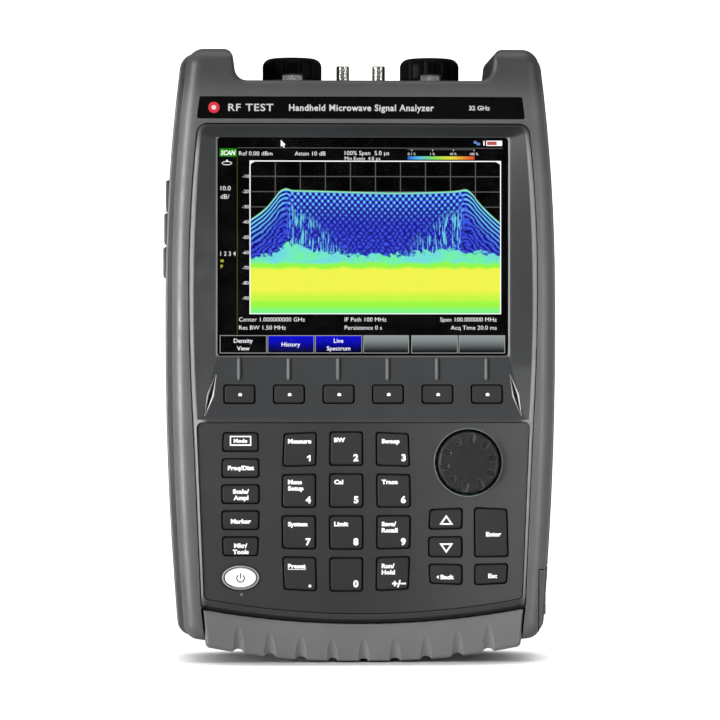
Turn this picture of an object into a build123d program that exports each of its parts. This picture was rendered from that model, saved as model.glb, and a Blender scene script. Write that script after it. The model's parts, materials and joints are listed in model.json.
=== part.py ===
from build123d import *
import os
from math import atan2, cos, degrees, pi, sin

# A handheld spectrum analyzer, standing upright, in millimetres.
# X runs to the right seen from the front, the front faces -Y, Z is up.
# The origin is below the middle, at the lowest point of the bottom bumper.

os.makedirs("parts", exist_ok=True)

# ---- driving dimensions -------------------------------------------------

HEIGHT = 292.5
HALF_WIDTH = 94.6
FRONT_Y = -36.0
REAR_Y = 36.0
PARTING_Y = -4.0

# sides bow outwards: straight from hip to shoulder, arcs above and below
HIP_Z = 155.0
SHOULDER_Z = 175.0
LOWER_BOW_R = 1650.0
UPPER_BOW_R = 873.0
FRONT_INSET = 3.4

HORN_FOOT_X = 60.6
HORN_TIP_X = 62.6
VALLEY_Z = 277.2
HORN_OUTER_R = 8.5
HORN_INNER_R = 5.5
VALLEY_R = 6.0
RAIL_R = 7.5
EDGE_R = 2.9

FOOT_Z = 11.6
FOOT_CENTRE_Z = 5.5
FOOT_R = 7.6

CAVITY_TOP_Z = 262.0
CAVITY_LOW_Z = 12.0
CAVITY_INSET = 5.0 + FRONT_INSET / 2
LEDGE_Y = -33.0
FRONT_WALL_BACK_Y = -31.5
LOW_WALL_BACK_Y = -28.5
LEDGE_WIDTH = 2.0
REAR_CAVITY_Y = 31.0

# display bezel: a frame round the display and the keypad
SEAM_HALF_WIDTH = 83.0
SEAM_WIDEST_Z = 180.0
SEAM_TOP_Z = 256.4
SEAM_BOW_R = 682.0
SEAM_KNEE = (80.9, 111.0)
SEAM_MIDDLE = (82.45, 145.5)
SEAM_FOOT = (77.1, 26.1)
SEAM_FOOT_CENTRE_Z = 19.0
SEAM_GAP = 0.3
SEAM_CORNER_R = 5.0
BEZEL_FRONT_Y = -35.6
BEZEL_FLANGE_Y = -33.1
BEZEL_BACK_Y = -29.5
LIP = 1.1
SILL_X = 75.5
SILL_H = 2.0
SILL_DEPTH = 0.9
RIB_R = 1.0
GROOVE_R = 1.25

DISPLAY_W = 138.9
DISPLAY_H = 104.2
DISPLAY_Z = 198.1
DISPLAY_R = 1.5
FUNNEL_FLOOR_Y = -31.0
FUNNEL_LOW = (78.6, 100.0)
SHELF_FOOT = (-34.0, 118.4)
SHELF_RISE = (-34.5, 116.4)
SHELF_END_Z = 115.3
WINDOW_Y = -30.0
WINDOW_T = 2.0
WINDOW_MARGIN = 1.8
GASKET_T = 0.8
GASKET_EDGE = 1.5
LCD_HALF_W = 76.0
LCD_H = 118.0
LCD_T = 7.2

# keypad panel
PANEL_TOP = (79.3, 114.2)
PANEL_FOOT = (75.9, 30.4)
PANEL_FOOT_CENTRE_Z = 23.1
PANEL_Y = -35.0
PANEL_BACK_Y = -33.6
PANEL_LEDGE = 2.5

KEY_Y = -35.45
KEY_EDGE_R = 0.5
KEY_CORNER_R = 1.2
KEY_GAP = 0.85
KEY_FLANGE_Y = (-33.5, -32.75)
KEY_FLANGE = 1.3
PLUNGER_Y = -31.2
PLUNGER_R = 2.0
SOFTKEY_X = [-59.0, -35.4, -11.8, 11.8, 35.4, 59.0]
SOFTKEY_Z = 127.7
SOFTKEY_SIZE = (13.9, 7.9)
SOFTKEY_GAP = 0.8
SOFTKEY_PROUD = 0.7
SOFTKEY_FLANGE_Y = (-31.45, -31.0)
DOME_TOP_Y = -30.15
DOME_R = 3.2
BOARD_Y = (-29.4, -27.8)

COLUMN_X = -58.5
COLUMN_Z = 105.6
COLUMN_PITCH = 12.68
COLUMN_NAMES = ["key_mode", "key_freq", "key_scale", "key_marker", "key_tools"]
COLUMN_SIZE = (16.9, 8.2)
NUMBER_X = [-30.8, -8.2, 14.4]
NUMBER_Z = [101.9, 81.9, 61.9, 41.9]
NUMBER_NAMES = [
    ["key_1", "key_2", "key_3"],
    ["key_4", "key_5", "key_6"],
    ["key_7", "key_8", "key_9"],
    ["key_point", "key_0", "key_sign"],
]
NUMBER_SIZE = (15.0, 15.0)
ARROW_X = 39.0
ENTER_X = 61.1
POWER_X = -58.5
POWER_Z = 40.5
POWER_FACE = (7.45, 4.45)
POWER_RIM = (8.9, 5.75)
LED_X = -58.0
LED_Z = 32.4

KNOB_X = 50.0
KNOB_Z = 95.2
KNOB_R = 14.6
KNOB_HOLE_R = 15.9
KNOB_FRONT_Y = -38.2
KNOB_BACK_Y = -33.2
KNOB_DIMPLES = 10
SHAFT_R = 3.0
SHAFT_END_Y = -23.6
RUNNING = 0.05

# name plate
PLATE_X = -1.1
PLATE_HALF_W = 77.4
PLATE_SLANT = 0.7
PLATE_Z = (258.8, 269.2)
PLATE_Y = (-35.9, -35.2)

# bottom bumper
BUMPER_TOP = (77.0, 25.7)
BUMPER_TOP_CENTRE_Z = 18.6
BUMPER_FOOT = (75.0, 7.4)
BUMPER_FRONT_Y = -35.6
BUMPER_APRON_Y = -32.6
BUMPER_REAR_Y = 33.0
BUMPER_ROLL_R = 2.2
NOTCHES = 9
NOTCH_PITCH = 14.9
NOTCH_R = 3.3
NOTCH_DEPTH = 1.9
NOTCH_RISE = (11.0, 15.0)

# connector bay on top
BAY_X = 56.5
BAY_Y = (-25.0, 22.0)
BAY_LEDGE = 2.5
CONNECTOR_Y = -1.5
PLATE_BOTTOM_Z = 265.5
PLATE_TOP_Z = 268.0
PORT_X = 33.3
PORT_R = 4.9
PORT_TAIL_R = 4.4
PORT_TOP_Z = 287.6
CAP_R = 14.3
CAP_Z = (279.2, 289.9)
CAP_DOME_R = 4.2
CAP_LOBES = 12
CAP_SLOT = (9.8, 2.6)
SMA_X = 8.7
SMA_R = 3.1
SMA_TAIL_R = 2.6
SMA_TOP_Z = 286.4

# screws
CASE_SCREWS = [(81.5, 56.0), (83.0, 153.0), (80.5, 250.0)]
SCREW_R = 1.5
SCREW_HEAD_R = 3.0
CASE_SCREW = (SCREW_R, SCREW_HEAD_R, 2.2, 45.0)
BOSS_R = 4.4
CHASSIS_BOSS_R = 3.4
BOARD_SCREW_R = 1.25
BOARD_SCREW = (BOARD_SCREW_R, 2.3, 1.8, 7.0)
CHASSIS_SCREWS = [(80.0, 100.0), (80.0, 200.0)]
BOARD_POSTS = [(62.0, 56.0), (62.0, 144.0)]

# chassis, boards, battery
CHASSIS_Y = (-20.0, -17.5)
MAIN_BOARD_Y = (-12.0, -10.4)
BATTERY_X = (-66.0, 82.0)
BATTERY_Y = (-22.0, 30.5)
BATTERY_Z = (13.0, 37.5)
DOOR_X = 84.0
DOOR_TOP_Z = 43.8
DOOR_Y = (-37.0, 30.0)
DOOR_GAP = 0.45
DOOR_HINGE = (91.2, 30.6)
DOOR_KNUCKLE_R = 1.9
DOOR_KNUCKLE_Z = (24.0, 33.0)
DOOR_EAR_H = 5.7
DOOR_LEAF_X = 86.0
DOOR_PIN_R = 0.9

# covers over the sockets on the left side
COVER_NAMES = ["side_door_upper", "side_door_middle", "side_door_lower"]
COVER_Z = [223.8, 207.8, 191.4]
COVER_H = 14.6
COVER_Y = (-1.4, 26.0)
COVER_PROUD = 1.3
COVER_DEPTH = 1.9
COVER_POCKET = 0.25
COVER_HINGE = (-0.6, 27.2)
COVER_KNUCKLE_R = 0.9
COVER_KNUCKLE_H = 9.0
COVER_EAR_Z = (4.8, 7.0)
COVER_PIN_R = 0.4

# cooling grooves in the back
GROOVES = 15
GROOVE_PITCH = 7.0
GROOVE_SIZE = (2.4, 84.0)
GROOVE_Z = 148.0
GROOVE_DEPTH = 1.6

# tilting stand on the back
BAIL_X = 70.5
BAIL_LEG_W = 9.0
BAIL_Z = (80.0, 205.0)
BAIL_Y = (30.8, 35.8)
BAIL_BAR_H = 12.0
BAIL_PIN_R = 1.75
BAIL_PIN_L = 3.4
BAIL_SLOT_Y = 30.4
BAIL_GAP = 0.4
RIB_Y = 27.4


# ---- outlines, drawn as (x, z) ------------------------------------------


def half_width(z):
    """Half the case width at height z."""
    if z > SHOULDER_Z:
        return HALF_WIDTH - (z - SHOULDER_Z) ** 2 / (2 * UPPER_BOW_R)
    if z < HIP_Z:
        return HALF_WIDTH - (HIP_Z - z) ** 2 / (2 * LOWER_BOW_R)
    return HALF_WIDTH


def side_edges(inset, low_z, high_z):
    """The right side from low_z up to high_z."""

    def at(z):
        return (half_width(z) - inset, z)

    if high_z <= HIP_Z:
        return [ThreePointArc(at(low_z), at((low_z + high_z) / 2), at(high_z))]
    return [
        ThreePointArc(at(low_z), at((low_z + HIP_Z) / 2), at(HIP_Z)),
        Line(at(HIP_Z), at(SHOULDER_Z)),
        ThreePointArc(at(SHOULDER_Z), at((SHOULDER_Z + high_z) / 2), at(high_z)),
    ]


def both_sides(edges):
    """The edges and their mirror images about the middle."""
    return edges + [mirror(edge, about=Plane.YZ) for edge in edges]


def round_corners(face, radius, where):
    """Rounds the corners of a face whose (|x|, z) passes the test where."""
    corners = [v for v in face.vertices() if where(abs(v.X), v.Y)]
    return fillet(corners, radius)


def barrel(inset, low_z, high_z, radius):
    """A closed outline with bowed sides and flat ends."""
    low_x = half_width(low_z) - inset
    high_x = half_width(high_z) - inset
    edges = both_sides(side_edges(inset, low_z, high_z))
    edges += [Line((-low_x, low_z), (low_x, low_z)), Line((-high_x, high_z), (high_x, high_z))]
    face = make_face(edges)
    middle = (low_z + high_z) / 2
    ends = (high_z - low_z) / 2 - 0.1
    return round_corners(face, radius, lambda x, z: abs(z - middle) > ends)


def convex_outline(inset):
    """The case from the front without the gap between the horns."""
    foot_x = half_width(FOOT_Z) - inset
    top_x = half_width(HEIGHT) - inset
    edges = both_sides(side_edges(inset, FOOT_Z, HEIGHT))
    edges.append(ThreePointArc((-foot_x, FOOT_Z), (0, FOOT_CENTRE_Z), (foot_x, FOOT_Z)))
    edges.append(Line((-top_x, HEIGHT), (top_x, HEIGHT)))
    face = make_face(edges)
    face = round_corners(face, HORN_OUTER_R, lambda x, z: z > HEIGHT - 0.1)
    return round_corners(face, FOOT_R, lambda x, z: z < FOOT_Z + 0.1)


def horned_outline(valley_z):
    """A slightly larger outline that has the gap between the horns."""
    wide = 96.0
    low, top = -5.0, HEIGHT + 0.1
    points = [(-wide, low), (wide, low), (wide, top), (HORN_TIP_X, top)]
    points += [(HORN_FOOT_X, valley_z), (-HORN_FOOT_X, valley_z), (-HORN_TIP_X, top), (-wide, top)]
    face = make_face(Polyline(*points, close=True))
    tips = lambda x, z: z > top - 0.01 and x < HORN_TIP_X + 0.01
    face = round_corners(face, HORN_INNER_R, tips)
    return round_corners(face, VALLEY_R, lambda x, z: abs(z - valley_z) < 0.01)


def seam_edges():
    """The bezel's right edge, from its foot to its top."""

    def above(z):
        return (SEAM_HALF_WIDTH - (z - SEAM_WIDEST_Z) ** 2 / (2 * SEAM_BOW_R), z)

    widest, top = above(SEAM_WIDEST_Z), above(SEAM_TOP_Z)
    upper_middle = above((SEAM_WIDEST_Z + SEAM_TOP_Z) / 2)
    return [
        Line(SEAM_FOOT, SEAM_KNEE),
        ThreePointArc(SEAM_KNEE, SEAM_MIDDLE, widest),
        ThreePointArc(widest, upper_middle, top),
    ], top


def bezel_outline(grow=0.0):
    """The outer edge of the display bezel."""
    right, top = seam_edges()
    edges = both_sides(right)
    edges.append(Line((-top[0], top[1]), top))
    foot_x, foot_z = SEAM_FOOT
    edges.append(ThreePointArc((-foot_x, foot_z), (0, SEAM_FOOT_CENTRE_Z), SEAM_FOOT))
    face = make_face(edges)
    face = round_corners(face, SEAM_CORNER_R, lambda x, z: z > SEAM_TOP_Z - 0.1)
    face = round_corners(face, 2.0, lambda x, z: z < foot_z + 0.1)
    return offset(face, amount=grow) if grow else face


def panel_outline(grow=0.0):
    """The keypad panel: flat top, tapering sides, sagging bottom."""
    foot_x, foot_z = PANEL_FOOT
    top_x, top_z = PANEL_TOP
    edges = both_sides([Line(PANEL_FOOT, PANEL_TOP)])
    edges.append(Line((-top_x, top_z), PANEL_TOP))
    edges.append(ThreePointArc((-foot_x, foot_z), (0, PANEL_FOOT_CENTRE_Z), PANEL_FOOT))
    face = make_face(edges)
    face = round_corners(face, 2.5, lambda x, z: True)
    return offset(face, amount=grow) if grow else face


def bumper_outline(grow=0.0):
    """The bottom bumper from the front."""
    top_x, top_z = BUMPER_TOP
    foot_x, foot_z = BUMPER_FOOT
    edges = both_sides([Line(BUMPER_FOOT, BUMPER_TOP)])
    edges.append(ThreePointArc((-top_x, top_z), (0, BUMPER_TOP_CENTRE_Z), BUMPER_TOP))
    edges.append(ThreePointArc((-foot_x, foot_z), (0, 0), BUMPER_FOOT))
    face = make_face(edges)
    face = round_corners(face, 2.5, lambda x, z: z < foot_z + 0.1)
    return offset(face, amount=grow) if grow else face


def rounded_box(x, z, width, height, radius):
    return Pos(x, z) * RectangleRounded(width, height, radius)


def disc(x, z, radius):
    return Pos(x, z) * Circle(radius)


def bowed_key(x, z, size, bow_box, grow=0.0):
    """A key outline whose outer corners follow the bowed edge of its group."""
    left, right, low, high, bow = bow_box
    centre_x, centre_z = (left + right) / 2, (low + high) / 2
    reach_x, reach_z = (right - left) / 2, (high - low) / 2
    points = []
    for dx, dz in ((-1, -1), (1, -1), (1, 1), (-1, 1)):
        px = x + dx * (size[0] / 2 + grow) - centre_x
        pz = z + dz * (size[1] / 2 + grow) - centre_z
        u, v = px / reach_x, pz / reach_z
        points.append((centre_x + px - bow * u * v * v, centre_z + pz - bow * v * u * u))
    face = make_face(Polyline(*points, close=True))
    return fillet(face.vertices(), KEY_CORNER_R + grow * 0.6)


# ---- solids from outlines -----------------------------------------------


def plate(outline, front_y, back_y):
    """The solid between two depths that has this outline from the front."""
    plane = Plane(origin=(0, back_y, 0), x_dir=(1, 0, 0), z_dir=(0, -1, 0))
    return extrude(plane * outline, amount=back_y - front_y)


def block(x, y, z):
    """A box from three (low, high) pairs."""
    size = [high - low for low, high in (x, y, z)]
    centre = [(low + high) / 2 for low, high in (x, y, z)]
    return Pos(*centre) * Box(*size)


def rod_y(x, z, radius, front_y, back_y):
    return plate(disc(x, z, radius), front_y, back_y)


def rod_z(x, y, radius, low_z, high_z):
    return Pos(x, y, (low_z + high_z) / 2) * Cylinder(radius, high_z - low_z)


def rod_x(y, z, radius, low_x, high_x):
    turned = Rot(0, 90, 0) * Cylinder(radius, high_x - low_x)
    return Pos((low_x + high_x) / 2, y, z) * turned


def front_edges(solid):
    return solid.faces().sort_by(Axis.Y)[0].edges()


def back_edges(solid):
    return solid.faces().sort_by(Axis.Y)[-1].edges()


def four_ways(places):
    """Each place on the right and on the left."""
    return [(side * x, z) for x, z in places for side in (1, -1)]


def save(name, *solids):
    shape = solids[0] if len(solids) == 1 else Compound(children=list(solids))
    export_step(shape, f"parts/{name}.step")
    print(name)


# ---- shared volumes -----------------------------------------------------


def case_half(inset, front_y, back_y, valley_z, outer_end):
    """Half of the case as a solid lump, rounded at its outer end."""
    pick = front_edges if outer_end == "front" else back_edges
    rounded = plate(convex_outline(inset), front_y, back_y)
    rounded = fillet(pick(rounded), RAIL_R)
    horned = plate(horned_outline(valley_z), front_y, back_y)
    gap_edges = [e for e in pick(horned) if abs(e.center().X) < 80 and e.center().Z > 100]
    gap_edges = [e for e in gap_edges if e.center().Z < HEIGHT]
    horned = fillet(gap_edges, EDGE_R)
    return rounded & horned


def boss(x, z, radius, inset, front_y, back_y):
    """A screw boss with a web to the side wall."""
    side = 1 if x > 0 else -1
    web_end = side * (half_width(z) - inset - 1.5)
    web = block(tuple(sorted((x, web_end))), (front_y, back_y), (z - 2, z + 2))
    return rod_y(x, z, radius, front_y, back_y) + web


def door_space(grow=0.0):
    depth = (DOOR_Y[0] - grow, DOOR_Y[1] + grow)
    return block((DOOR_X - grow, 110), depth, (-1, DOOR_TOP_Z + grow))


def bay_cutter():
    """The open bay between the horns and the step that the plate sits on."""
    wide = block((-BAY_X, BAY_X), BAY_Y, (PLATE_BOTTOM_Z, HEIGHT + 5))
    wide = fillet(wide.edges().filter_by(Axis.Z), 5)
    step_x, step_y = BAY_X - BAY_LEDGE, (BAY_Y[0] + BAY_LEDGE, BAY_Y[1] - BAY_LEDGE)
    narrow = block((-step_x, step_x), step_y, (CAVITY_TOP_Z - 1, PLATE_BOTTOM_Z + 1))
    return wide + narrow


def battery_opening():
    return block((70, DOOR_X + 10), (BATTERY_Y[0] - 0.8, BATTERY_Y[1] + 0.3), (12.3, 38.2))


# ---- keys ---------------------------------------------------------------


def bow_box(keys, bow):
    xs = [x + side * size[0] / 2 for x, z, size in keys for side in (-1, 1)]
    zs = [z + side * size[1] / 2 for x, z, size in keys for side in (-1, 1)]
    return (min(xs), max(xs), min(zs), max(zs), bow)


def key_groups():
    """Every keypad key as name, x, z, size and the bow of its group."""
    column = [(COLUMN_X, COLUMN_Z - i * COLUMN_PITCH, COLUMN_SIZE) for i in range(5)]
    numbers = [(x, z, NUMBER_SIZE) for z in NUMBER_Z for x in NUMBER_X]
    right = [
        (ARROW_X, 68.6, (15.0, 8.8)),
        (ARROW_X, 55.0, (15.0, 8.8)),
        (ARROW_X, 41.7, (15.0, 8.6)),
        (ENTER_X, 61.9, (15.2, 22.6)),
        (ENTER_X, 41.7, (15.0, 8.8)),
    ]
    number_names = [name for row in NUMBER_NAMES for name in row]
    right_names = ["key_up", "key_down", "key_back", "key_enter", "key_esc"]
    groups = [(COLUMN_NAMES, column, 0.6), (number_names, numbers, 0.95), (right_names, right, 0.7)]
    out = []
    for names, keys, bow in groups:
        box = bow_box(keys, bow)
        out += [(name, *key, box) for name, key in zip(names, keys)]
    return out


KEYS = key_groups()


def shelf_lean():
    """Slope of the shelf below the display, as depth per height."""
    return (FUNNEL_FLOOR_Y - SHELF_FOOT[0]) / (DISPLAY_Z - DISPLAY_H / 2 - SHELF_FOOT[1])


def slope_y(z):
    """Depth of the sloping shelf below the display at height z."""
    return FUNNEL_FLOOR_Y - (DISPLAY_Z - DISPLAY_H / 2 - z) * shelf_lean()


def keypad_key(x, z, size, box):
    face = plate(bowed_key(x, z, size, box), KEY_Y, KEY_FLANGE_Y[0])
    face = fillet(front_edges(face), KEY_EDGE_R)
    wide = (size[0] + 2 * KEY_FLANGE, size[1] + 2 * KEY_FLANGE)
    flange = plate(rounded_box(x, z, *wide, 1.0), *KEY_FLANGE_Y)
    plunger = rod_y(x, z, PLUNGER_R, KEY_FLANGE_Y[1], PLUNGER_Y)
    return face + flange + plunger


def oval(size, grow=0.0):
    """An oval about the power key's middle, from its two half widths."""
    return Pos(POWER_X, POWER_Z) * Ellipse(size[0] + grow, size[1] + grow)


def power_button():
    rim = plate(oval(POWER_RIM), KEY_Y - 0.1, KEY_FLANGE_Y[0])
    rim = fillet(front_edges(rim), 0.35)
    groove = plate(oval(POWER_FACE, 0.3), KEY_Y - 1, KEY_Y + 0.5)
    face = plate(oval(POWER_FACE), KEY_Y - 0.35, KEY_Y + 0.6)
    face = fillet(front_edges(face), 0.5)
    flange = plate(oval(POWER_RIM, KEY_FLANGE), *KEY_FLANGE_Y)
    plunger = rod_y(POWER_X, POWER_Z, PLUNGER_R, KEY_FLANGE_Y[1], PLUNGER_Y)
    return (rim - groove) + face + flange + plunger


def tilted_top(x):
    """Everything in front of the softkeys' sloping faces."""
    lean = degrees(atan2(shelf_lean(), 1))
    cutter = Pos(0, -10, 0) * Box(40, 20, 40)
    return Pos(x, slope_y(SOFTKEY_Z) - SOFTKEY_PROUD, SOFTKEY_Z) * Rot(-lean, 0, 0) * cutter


def softkey(x):
    body = plate(rounded_box(x, SOFTKEY_Z, *SOFTKEY_SIZE, 1.1), -40, SOFTKEY_FLANGE_Y[0])
    body = body - tilted_top(x)
    body = fillet(front_rim(body), 0.45)
    wide = (SOFTKEY_SIZE[0] + 3.0, SOFTKEY_SIZE[1] + 3.0)
    return body + plate(rounded_box(x, SOFTKEY_Z, *wide, 1.0), *SOFTKEY_FLANGE_Y)


def front_rim(body):
    """The edges of the face that looks most towards the front."""
    faces = [f for f in body.faces() if f.normal_at().Y < -0.9]
    return min(faces, key=lambda f: f.center().Y).edges()


# ---- front: housing, bezel, panel, display ------------------------------


def name_plate_outline(grow=0.0):
    low, high = PLATE_Z
    wide, narrow = PLATE_HALF_W + PLATE_SLANT, PLATE_HALF_W - PLATE_SLANT
    points = [(-wide, low), (wide, low), (narrow, high), (-narrow, high)]
    face = make_face(Polyline(*points, close=True))
    face = Pos(PLATE_X, 0) * fillet(face.vertices(), 1.0)
    return offset(face, amount=grow) if grow else face


def make_front_housing():
    solid = case_half(FRONT_INSET, FRONT_Y, PARTING_Y, VALLEY_Z, "front")
    solid -= plate(barrel(CAVITY_INSET, 30, CAVITY_TOP_Z, 6), FRONT_WALL_BACK_Y, PARTING_Y + 1)
    solid -= plate(barrel(CAVITY_INSET, CAVITY_LOW_Z, 60, 6), LOW_WALL_BACK_Y, PARTING_Y + 1)
    solid -= plate(bezel_outline(SEAM_GAP), FRONT_Y - 1, LEDGE_Y)
    solid -= plate(bezel_outline(-LEDGE_WIDTH), LEDGE_Y - 1, LOW_WALL_BACK_Y + 0.1)
    solid -= plate(bumper_outline(0.35), FRONT_Y - 1, BUMPER_APRON_Y + 0.1)
    solid -= plate(name_plate_outline(0.1), FRONT_Y - 1, PLATE_Y[1])
    for x, z in four_ways(CASE_SCREWS):
        solid += boss(x, z, BOSS_R, FRONT_INSET, BEZEL_BACK_Y + 0.1, PARTING_Y)
    for x, z in four_ways(CHASSIS_SCREWS):
        solid += boss(x, z, CHASSIS_BOSS_R, FRONT_INSET, BEZEL_BACK_Y + 0.1, CHASSIS_Y[0])
    for x, z in four_ways(CASE_SCREWS):
        solid -= rod_y(x, z, SCREW_R + 0.05, -15.5, PARTING_Y + 1)
    for x, z in four_ways(CHASSIS_SCREWS):
        solid -= rod_y(x, z, BOARD_SCREW_R + 0.05, -26.0, CHASSIS_Y[0] + 1)
    solid -= bay_cutter()
    solid -= battery_opening()
    solid -= door_space(DOOR_GAP)
    return solid


def make_bezel():
    solid = plate(bezel_outline(), BEZEL_FRONT_Y, BEZEL_FLANGE_Y)
    solid = fillet(front_edges(solid), 0.4)
    solid -= sill()
    solid += plate(bezel_outline(-LEDGE_WIDTH - 0.15), BEZEL_FLANGE_Y - 0.5, BEZEL_BACK_Y)
    solid -= display_funnel()
    for x in SOFTKEY_X:
        solid += pointer_rib(x)
    for side in (1, -1):
        solid -= corner_groove(side)
    solid -= plate(rounded_box(0, DISPLAY_Z, DISPLAY_W, DISPLAY_H, DISPLAY_R), -40, -20)
    window = window_outline(0.15)
    solid -= plate(window, WINDOW_Y, -20)
    solid -= plate(panel_outline(0.15), -40, PANEL_BACK_Y)
    solid -= plate(panel_outline(-PANEL_LEDGE), PANEL_BACK_Y - 1, -20)
    pocket = rounded_box(0, SOFTKEY_Z, 2 * SOFTKEY_X[-1] + 20, SOFTKEY_SIZE[1] + 4.6, 1.5)
    solid -= plate(pocket, SOFTKEY_FLANGE_Y[0] - 0.05, -20)
    for x in SOFTKEY_X:
        wide = (SOFTKEY_SIZE[0] + 2 * SOFTKEY_GAP, SOFTKEY_SIZE[1] + 2 * SOFTKEY_GAP)
        solid -= plate(rounded_box(x, SOFTKEY_Z, *wide, 1.6), -40, -20)
    return solid


def sill():
    """The step along the foot of the bezel, just above the bumper."""
    above = Pos(0, SILL_H) * bezel_outline()
    middle = block((-SILL_X, SILL_X), (-40, -20), (0, 60))
    step = plate(bezel_outline(), BEZEL_FRONT_Y - 1, BEZEL_FRONT_Y + SILL_DEPTH)
    return (step - plate(above, -40, -20)) & middle


def display_funnel():
    """The sloping surround: wide at the front, the display's size at its floor."""
    low_x, low_z = FUNNEL_LOW
    top_x, top_z = seam_edges()[1][0] - LIP, SEAM_TOP_Z - LIP
    widest = (SEAM_HALF_WIDTH - LIP, SEAM_WIDEST_Z + 2)
    edges = [
        ThreePointArc((low_x, low_z), widest, (top_x, top_z)),
        Line((top_x, top_z), (-top_x, top_z)),
        ThreePointArc((-top_x, top_z), (-widest[0], widest[1]), (-low_x, low_z)),
        Line((-low_x, low_z), (low_x, low_z)),
    ]
    front = make_face(edges)
    front = round_corners(front, SEAM_CORNER_R - LIP, lambda x, z: z > top_z - 0.1)
    display_top = DISPLAY_Z + DISPLAY_H / 2
    x, low, high = DISPLAY_W / 2, low_z, display_top
    back = make_face(Polyline((-x, low), (x, low), (x, high), (-x, high), close=True))
    back = round_corners(back, DISPLAY_R, lambda x, z: z > display_top - 0.1)
    sides = loft([front_plane(FUNNEL_FLOOR_Y) * back, front_plane(BEZEL_FRONT_Y) * front], ruled=True)
    return sides & shelf_space()


def front_plane(y):
    """A plane at depth y that faces the front."""
    return Plane(origin=(0, y, 0), x_dir=(1, 0, 0), z_dir=(0, -1, 0))


def shelf_space():
    """Everything in front of the display's plane and of the shelf below it."""
    start = (FUNNEL_FLOOR_Y, DISPLAY_Z - DISPLAY_H / 2)
    end = (BEZEL_FRONT_Y, SHELF_END_Z)
    edges = [Line(start, SHELF_FOOT), ThreePointArc(SHELF_FOOT, SHELF_RISE, end)]
    edges.append(Polyline(end, (-42, SHELF_END_Z), (-42, 270), (FUNNEL_FLOOR_Y, 270), start))
    profile = Plane(origin=(-90, 0, 0), x_dir=(0, 1, 0), z_dir=(1, 0, 0)) * make_face(edges)
    return extrude(profile, amount=180)


def corner_groove(side):
    """A lens-shaped groove where the shelf meets the sloping side."""
    start = Vector(side * 70.2, slope_y(136.8) + 0.15, 136.8)
    end = Vector(side * 75.4, slope_y(117.6) + 0.1, 117.6)
    middle = (start + end) / 2
    taper = Cone(GROOVE_R, 0.1, (end - start).length / 2, align=(Align.CENTER, Align.CENTER, Align.MIN))
    toward_end = Plane(origin=middle, x_dir=(0, -1, 0.1), z_dir=end - start) * taper
    toward_start = Plane(origin=middle, x_dir=(0, -1, 0.1), z_dir=start - end) * taper
    return toward_end + toward_start


def pointer_rib(x):
    """A low ridge on the shelf that points from a softkey to the display."""
    low_z, high_z = SOFTKEY_Z + 7.4, SOFTKEY_Z + 16.6
    start = (x, slope_y(low_z) + 0.25, low_z)
    end = (x, slope_y(high_z) + 0.25, high_z)
    path = Line(start, end)
    rib = sweep(Plane(origin=start, z_dir=path % 0) * Circle(RIB_R), path=path)
    return rib + Pos(*start) * Sphere(RIB_R) + Pos(*end) * Sphere(RIB_R)


def window_outline(grow=0.0):
    width = DISPLAY_W + 2 * (WINDOW_MARGIN + grow)
    height = DISPLAY_H + 2 * (WINDOW_MARGIN + grow)
    return rounded_box(0, DISPLAY_Z, width, height, 2.0)


def make_panel():
    solid = plate(panel_outline(), PANEL_Y, PANEL_BACK_Y)
    solid = fillet(front_edges(solid), 0.3)
    for name, x, z, size, box in KEYS:
        solid -= plate(bowed_key(x, z, size, box, KEY_GAP), -40, -20)
    ring = rod_y(KNOB_X, KNOB_Z, KNOB_HOLE_R + 0.7, PANEL_Y - 0.25, PANEL_Y + 0.3)
    solid += fillet(front_edges(ring), 0.24)
    solid -= rod_y(KNOB_X, KNOB_Z, KNOB_HOLE_R, -40, -20)
    solid -= plate(oval(POWER_RIM, 0.6), -40, -20)
    solid -= rod_y(LED_X, LED_Z, 0.8, -40, -20)
    return solid


def make_bumper():
    front = plate(bumper_outline(), BUMPER_FRONT_Y, BUMPER_APRON_Y)
    front = fillet(front_edges(front), BUMPER_ROLL_R)
    body = plate(bumper_outline(), BUMPER_APRON_Y - 0.2, BUMPER_REAR_Y)
    body = fillet(back_edges(body), 2.0)
    inside = plate(above_foot(), BUMPER_APRON_Y, BUMPER_REAR_Y + 2)
    solid = front + (body - inside)
    for i in range(NOTCHES):
        solid -= notch((i - NOTCHES // 2) * NOTCH_PITCH)
    return solid


def above_foot():
    """Everything above the case's curved underside, less a hair of clearance."""
    foot_x, top_z = half_width(FOOT_Z), 60
    low, mid = FOOT_Z - 0.1, FOOT_CENTRE_Z - 0.1
    sides = Polyline((foot_x, low), (foot_x, top_z), (-foot_x, top_z), (-foot_x, low))
    return make_face([ThreePointArc((-foot_x, low), (0, mid), (foot_x, low)), sides])


def notch(x):
    """A scallop along the underside that runs up the front as a fading flute."""
    foot_x, foot_z = BUMPER_FOOT
    low_z = foot_z * (x / foot_x) ** 2
    along = rod_y(x, low_z + NOTCH_DEPTH - NOTCH_R, NOTCH_R, -40, 40)
    rise = NOTCH_RISE[0] + (NOTCH_RISE[1] - NOTCH_RISE[0]) * (x / foot_x) ** 2
    lean = degrees(atan2(NOTCH_DEPTH, rise))
    flute = Rot(lean, 0, 0) * Cylinder(NOTCH_R, 2 * rise + 8)
    return along + Pos(x, BUMPER_FRONT_Y - NOTCH_R + NOTCH_DEPTH, low_z) * flute


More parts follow.
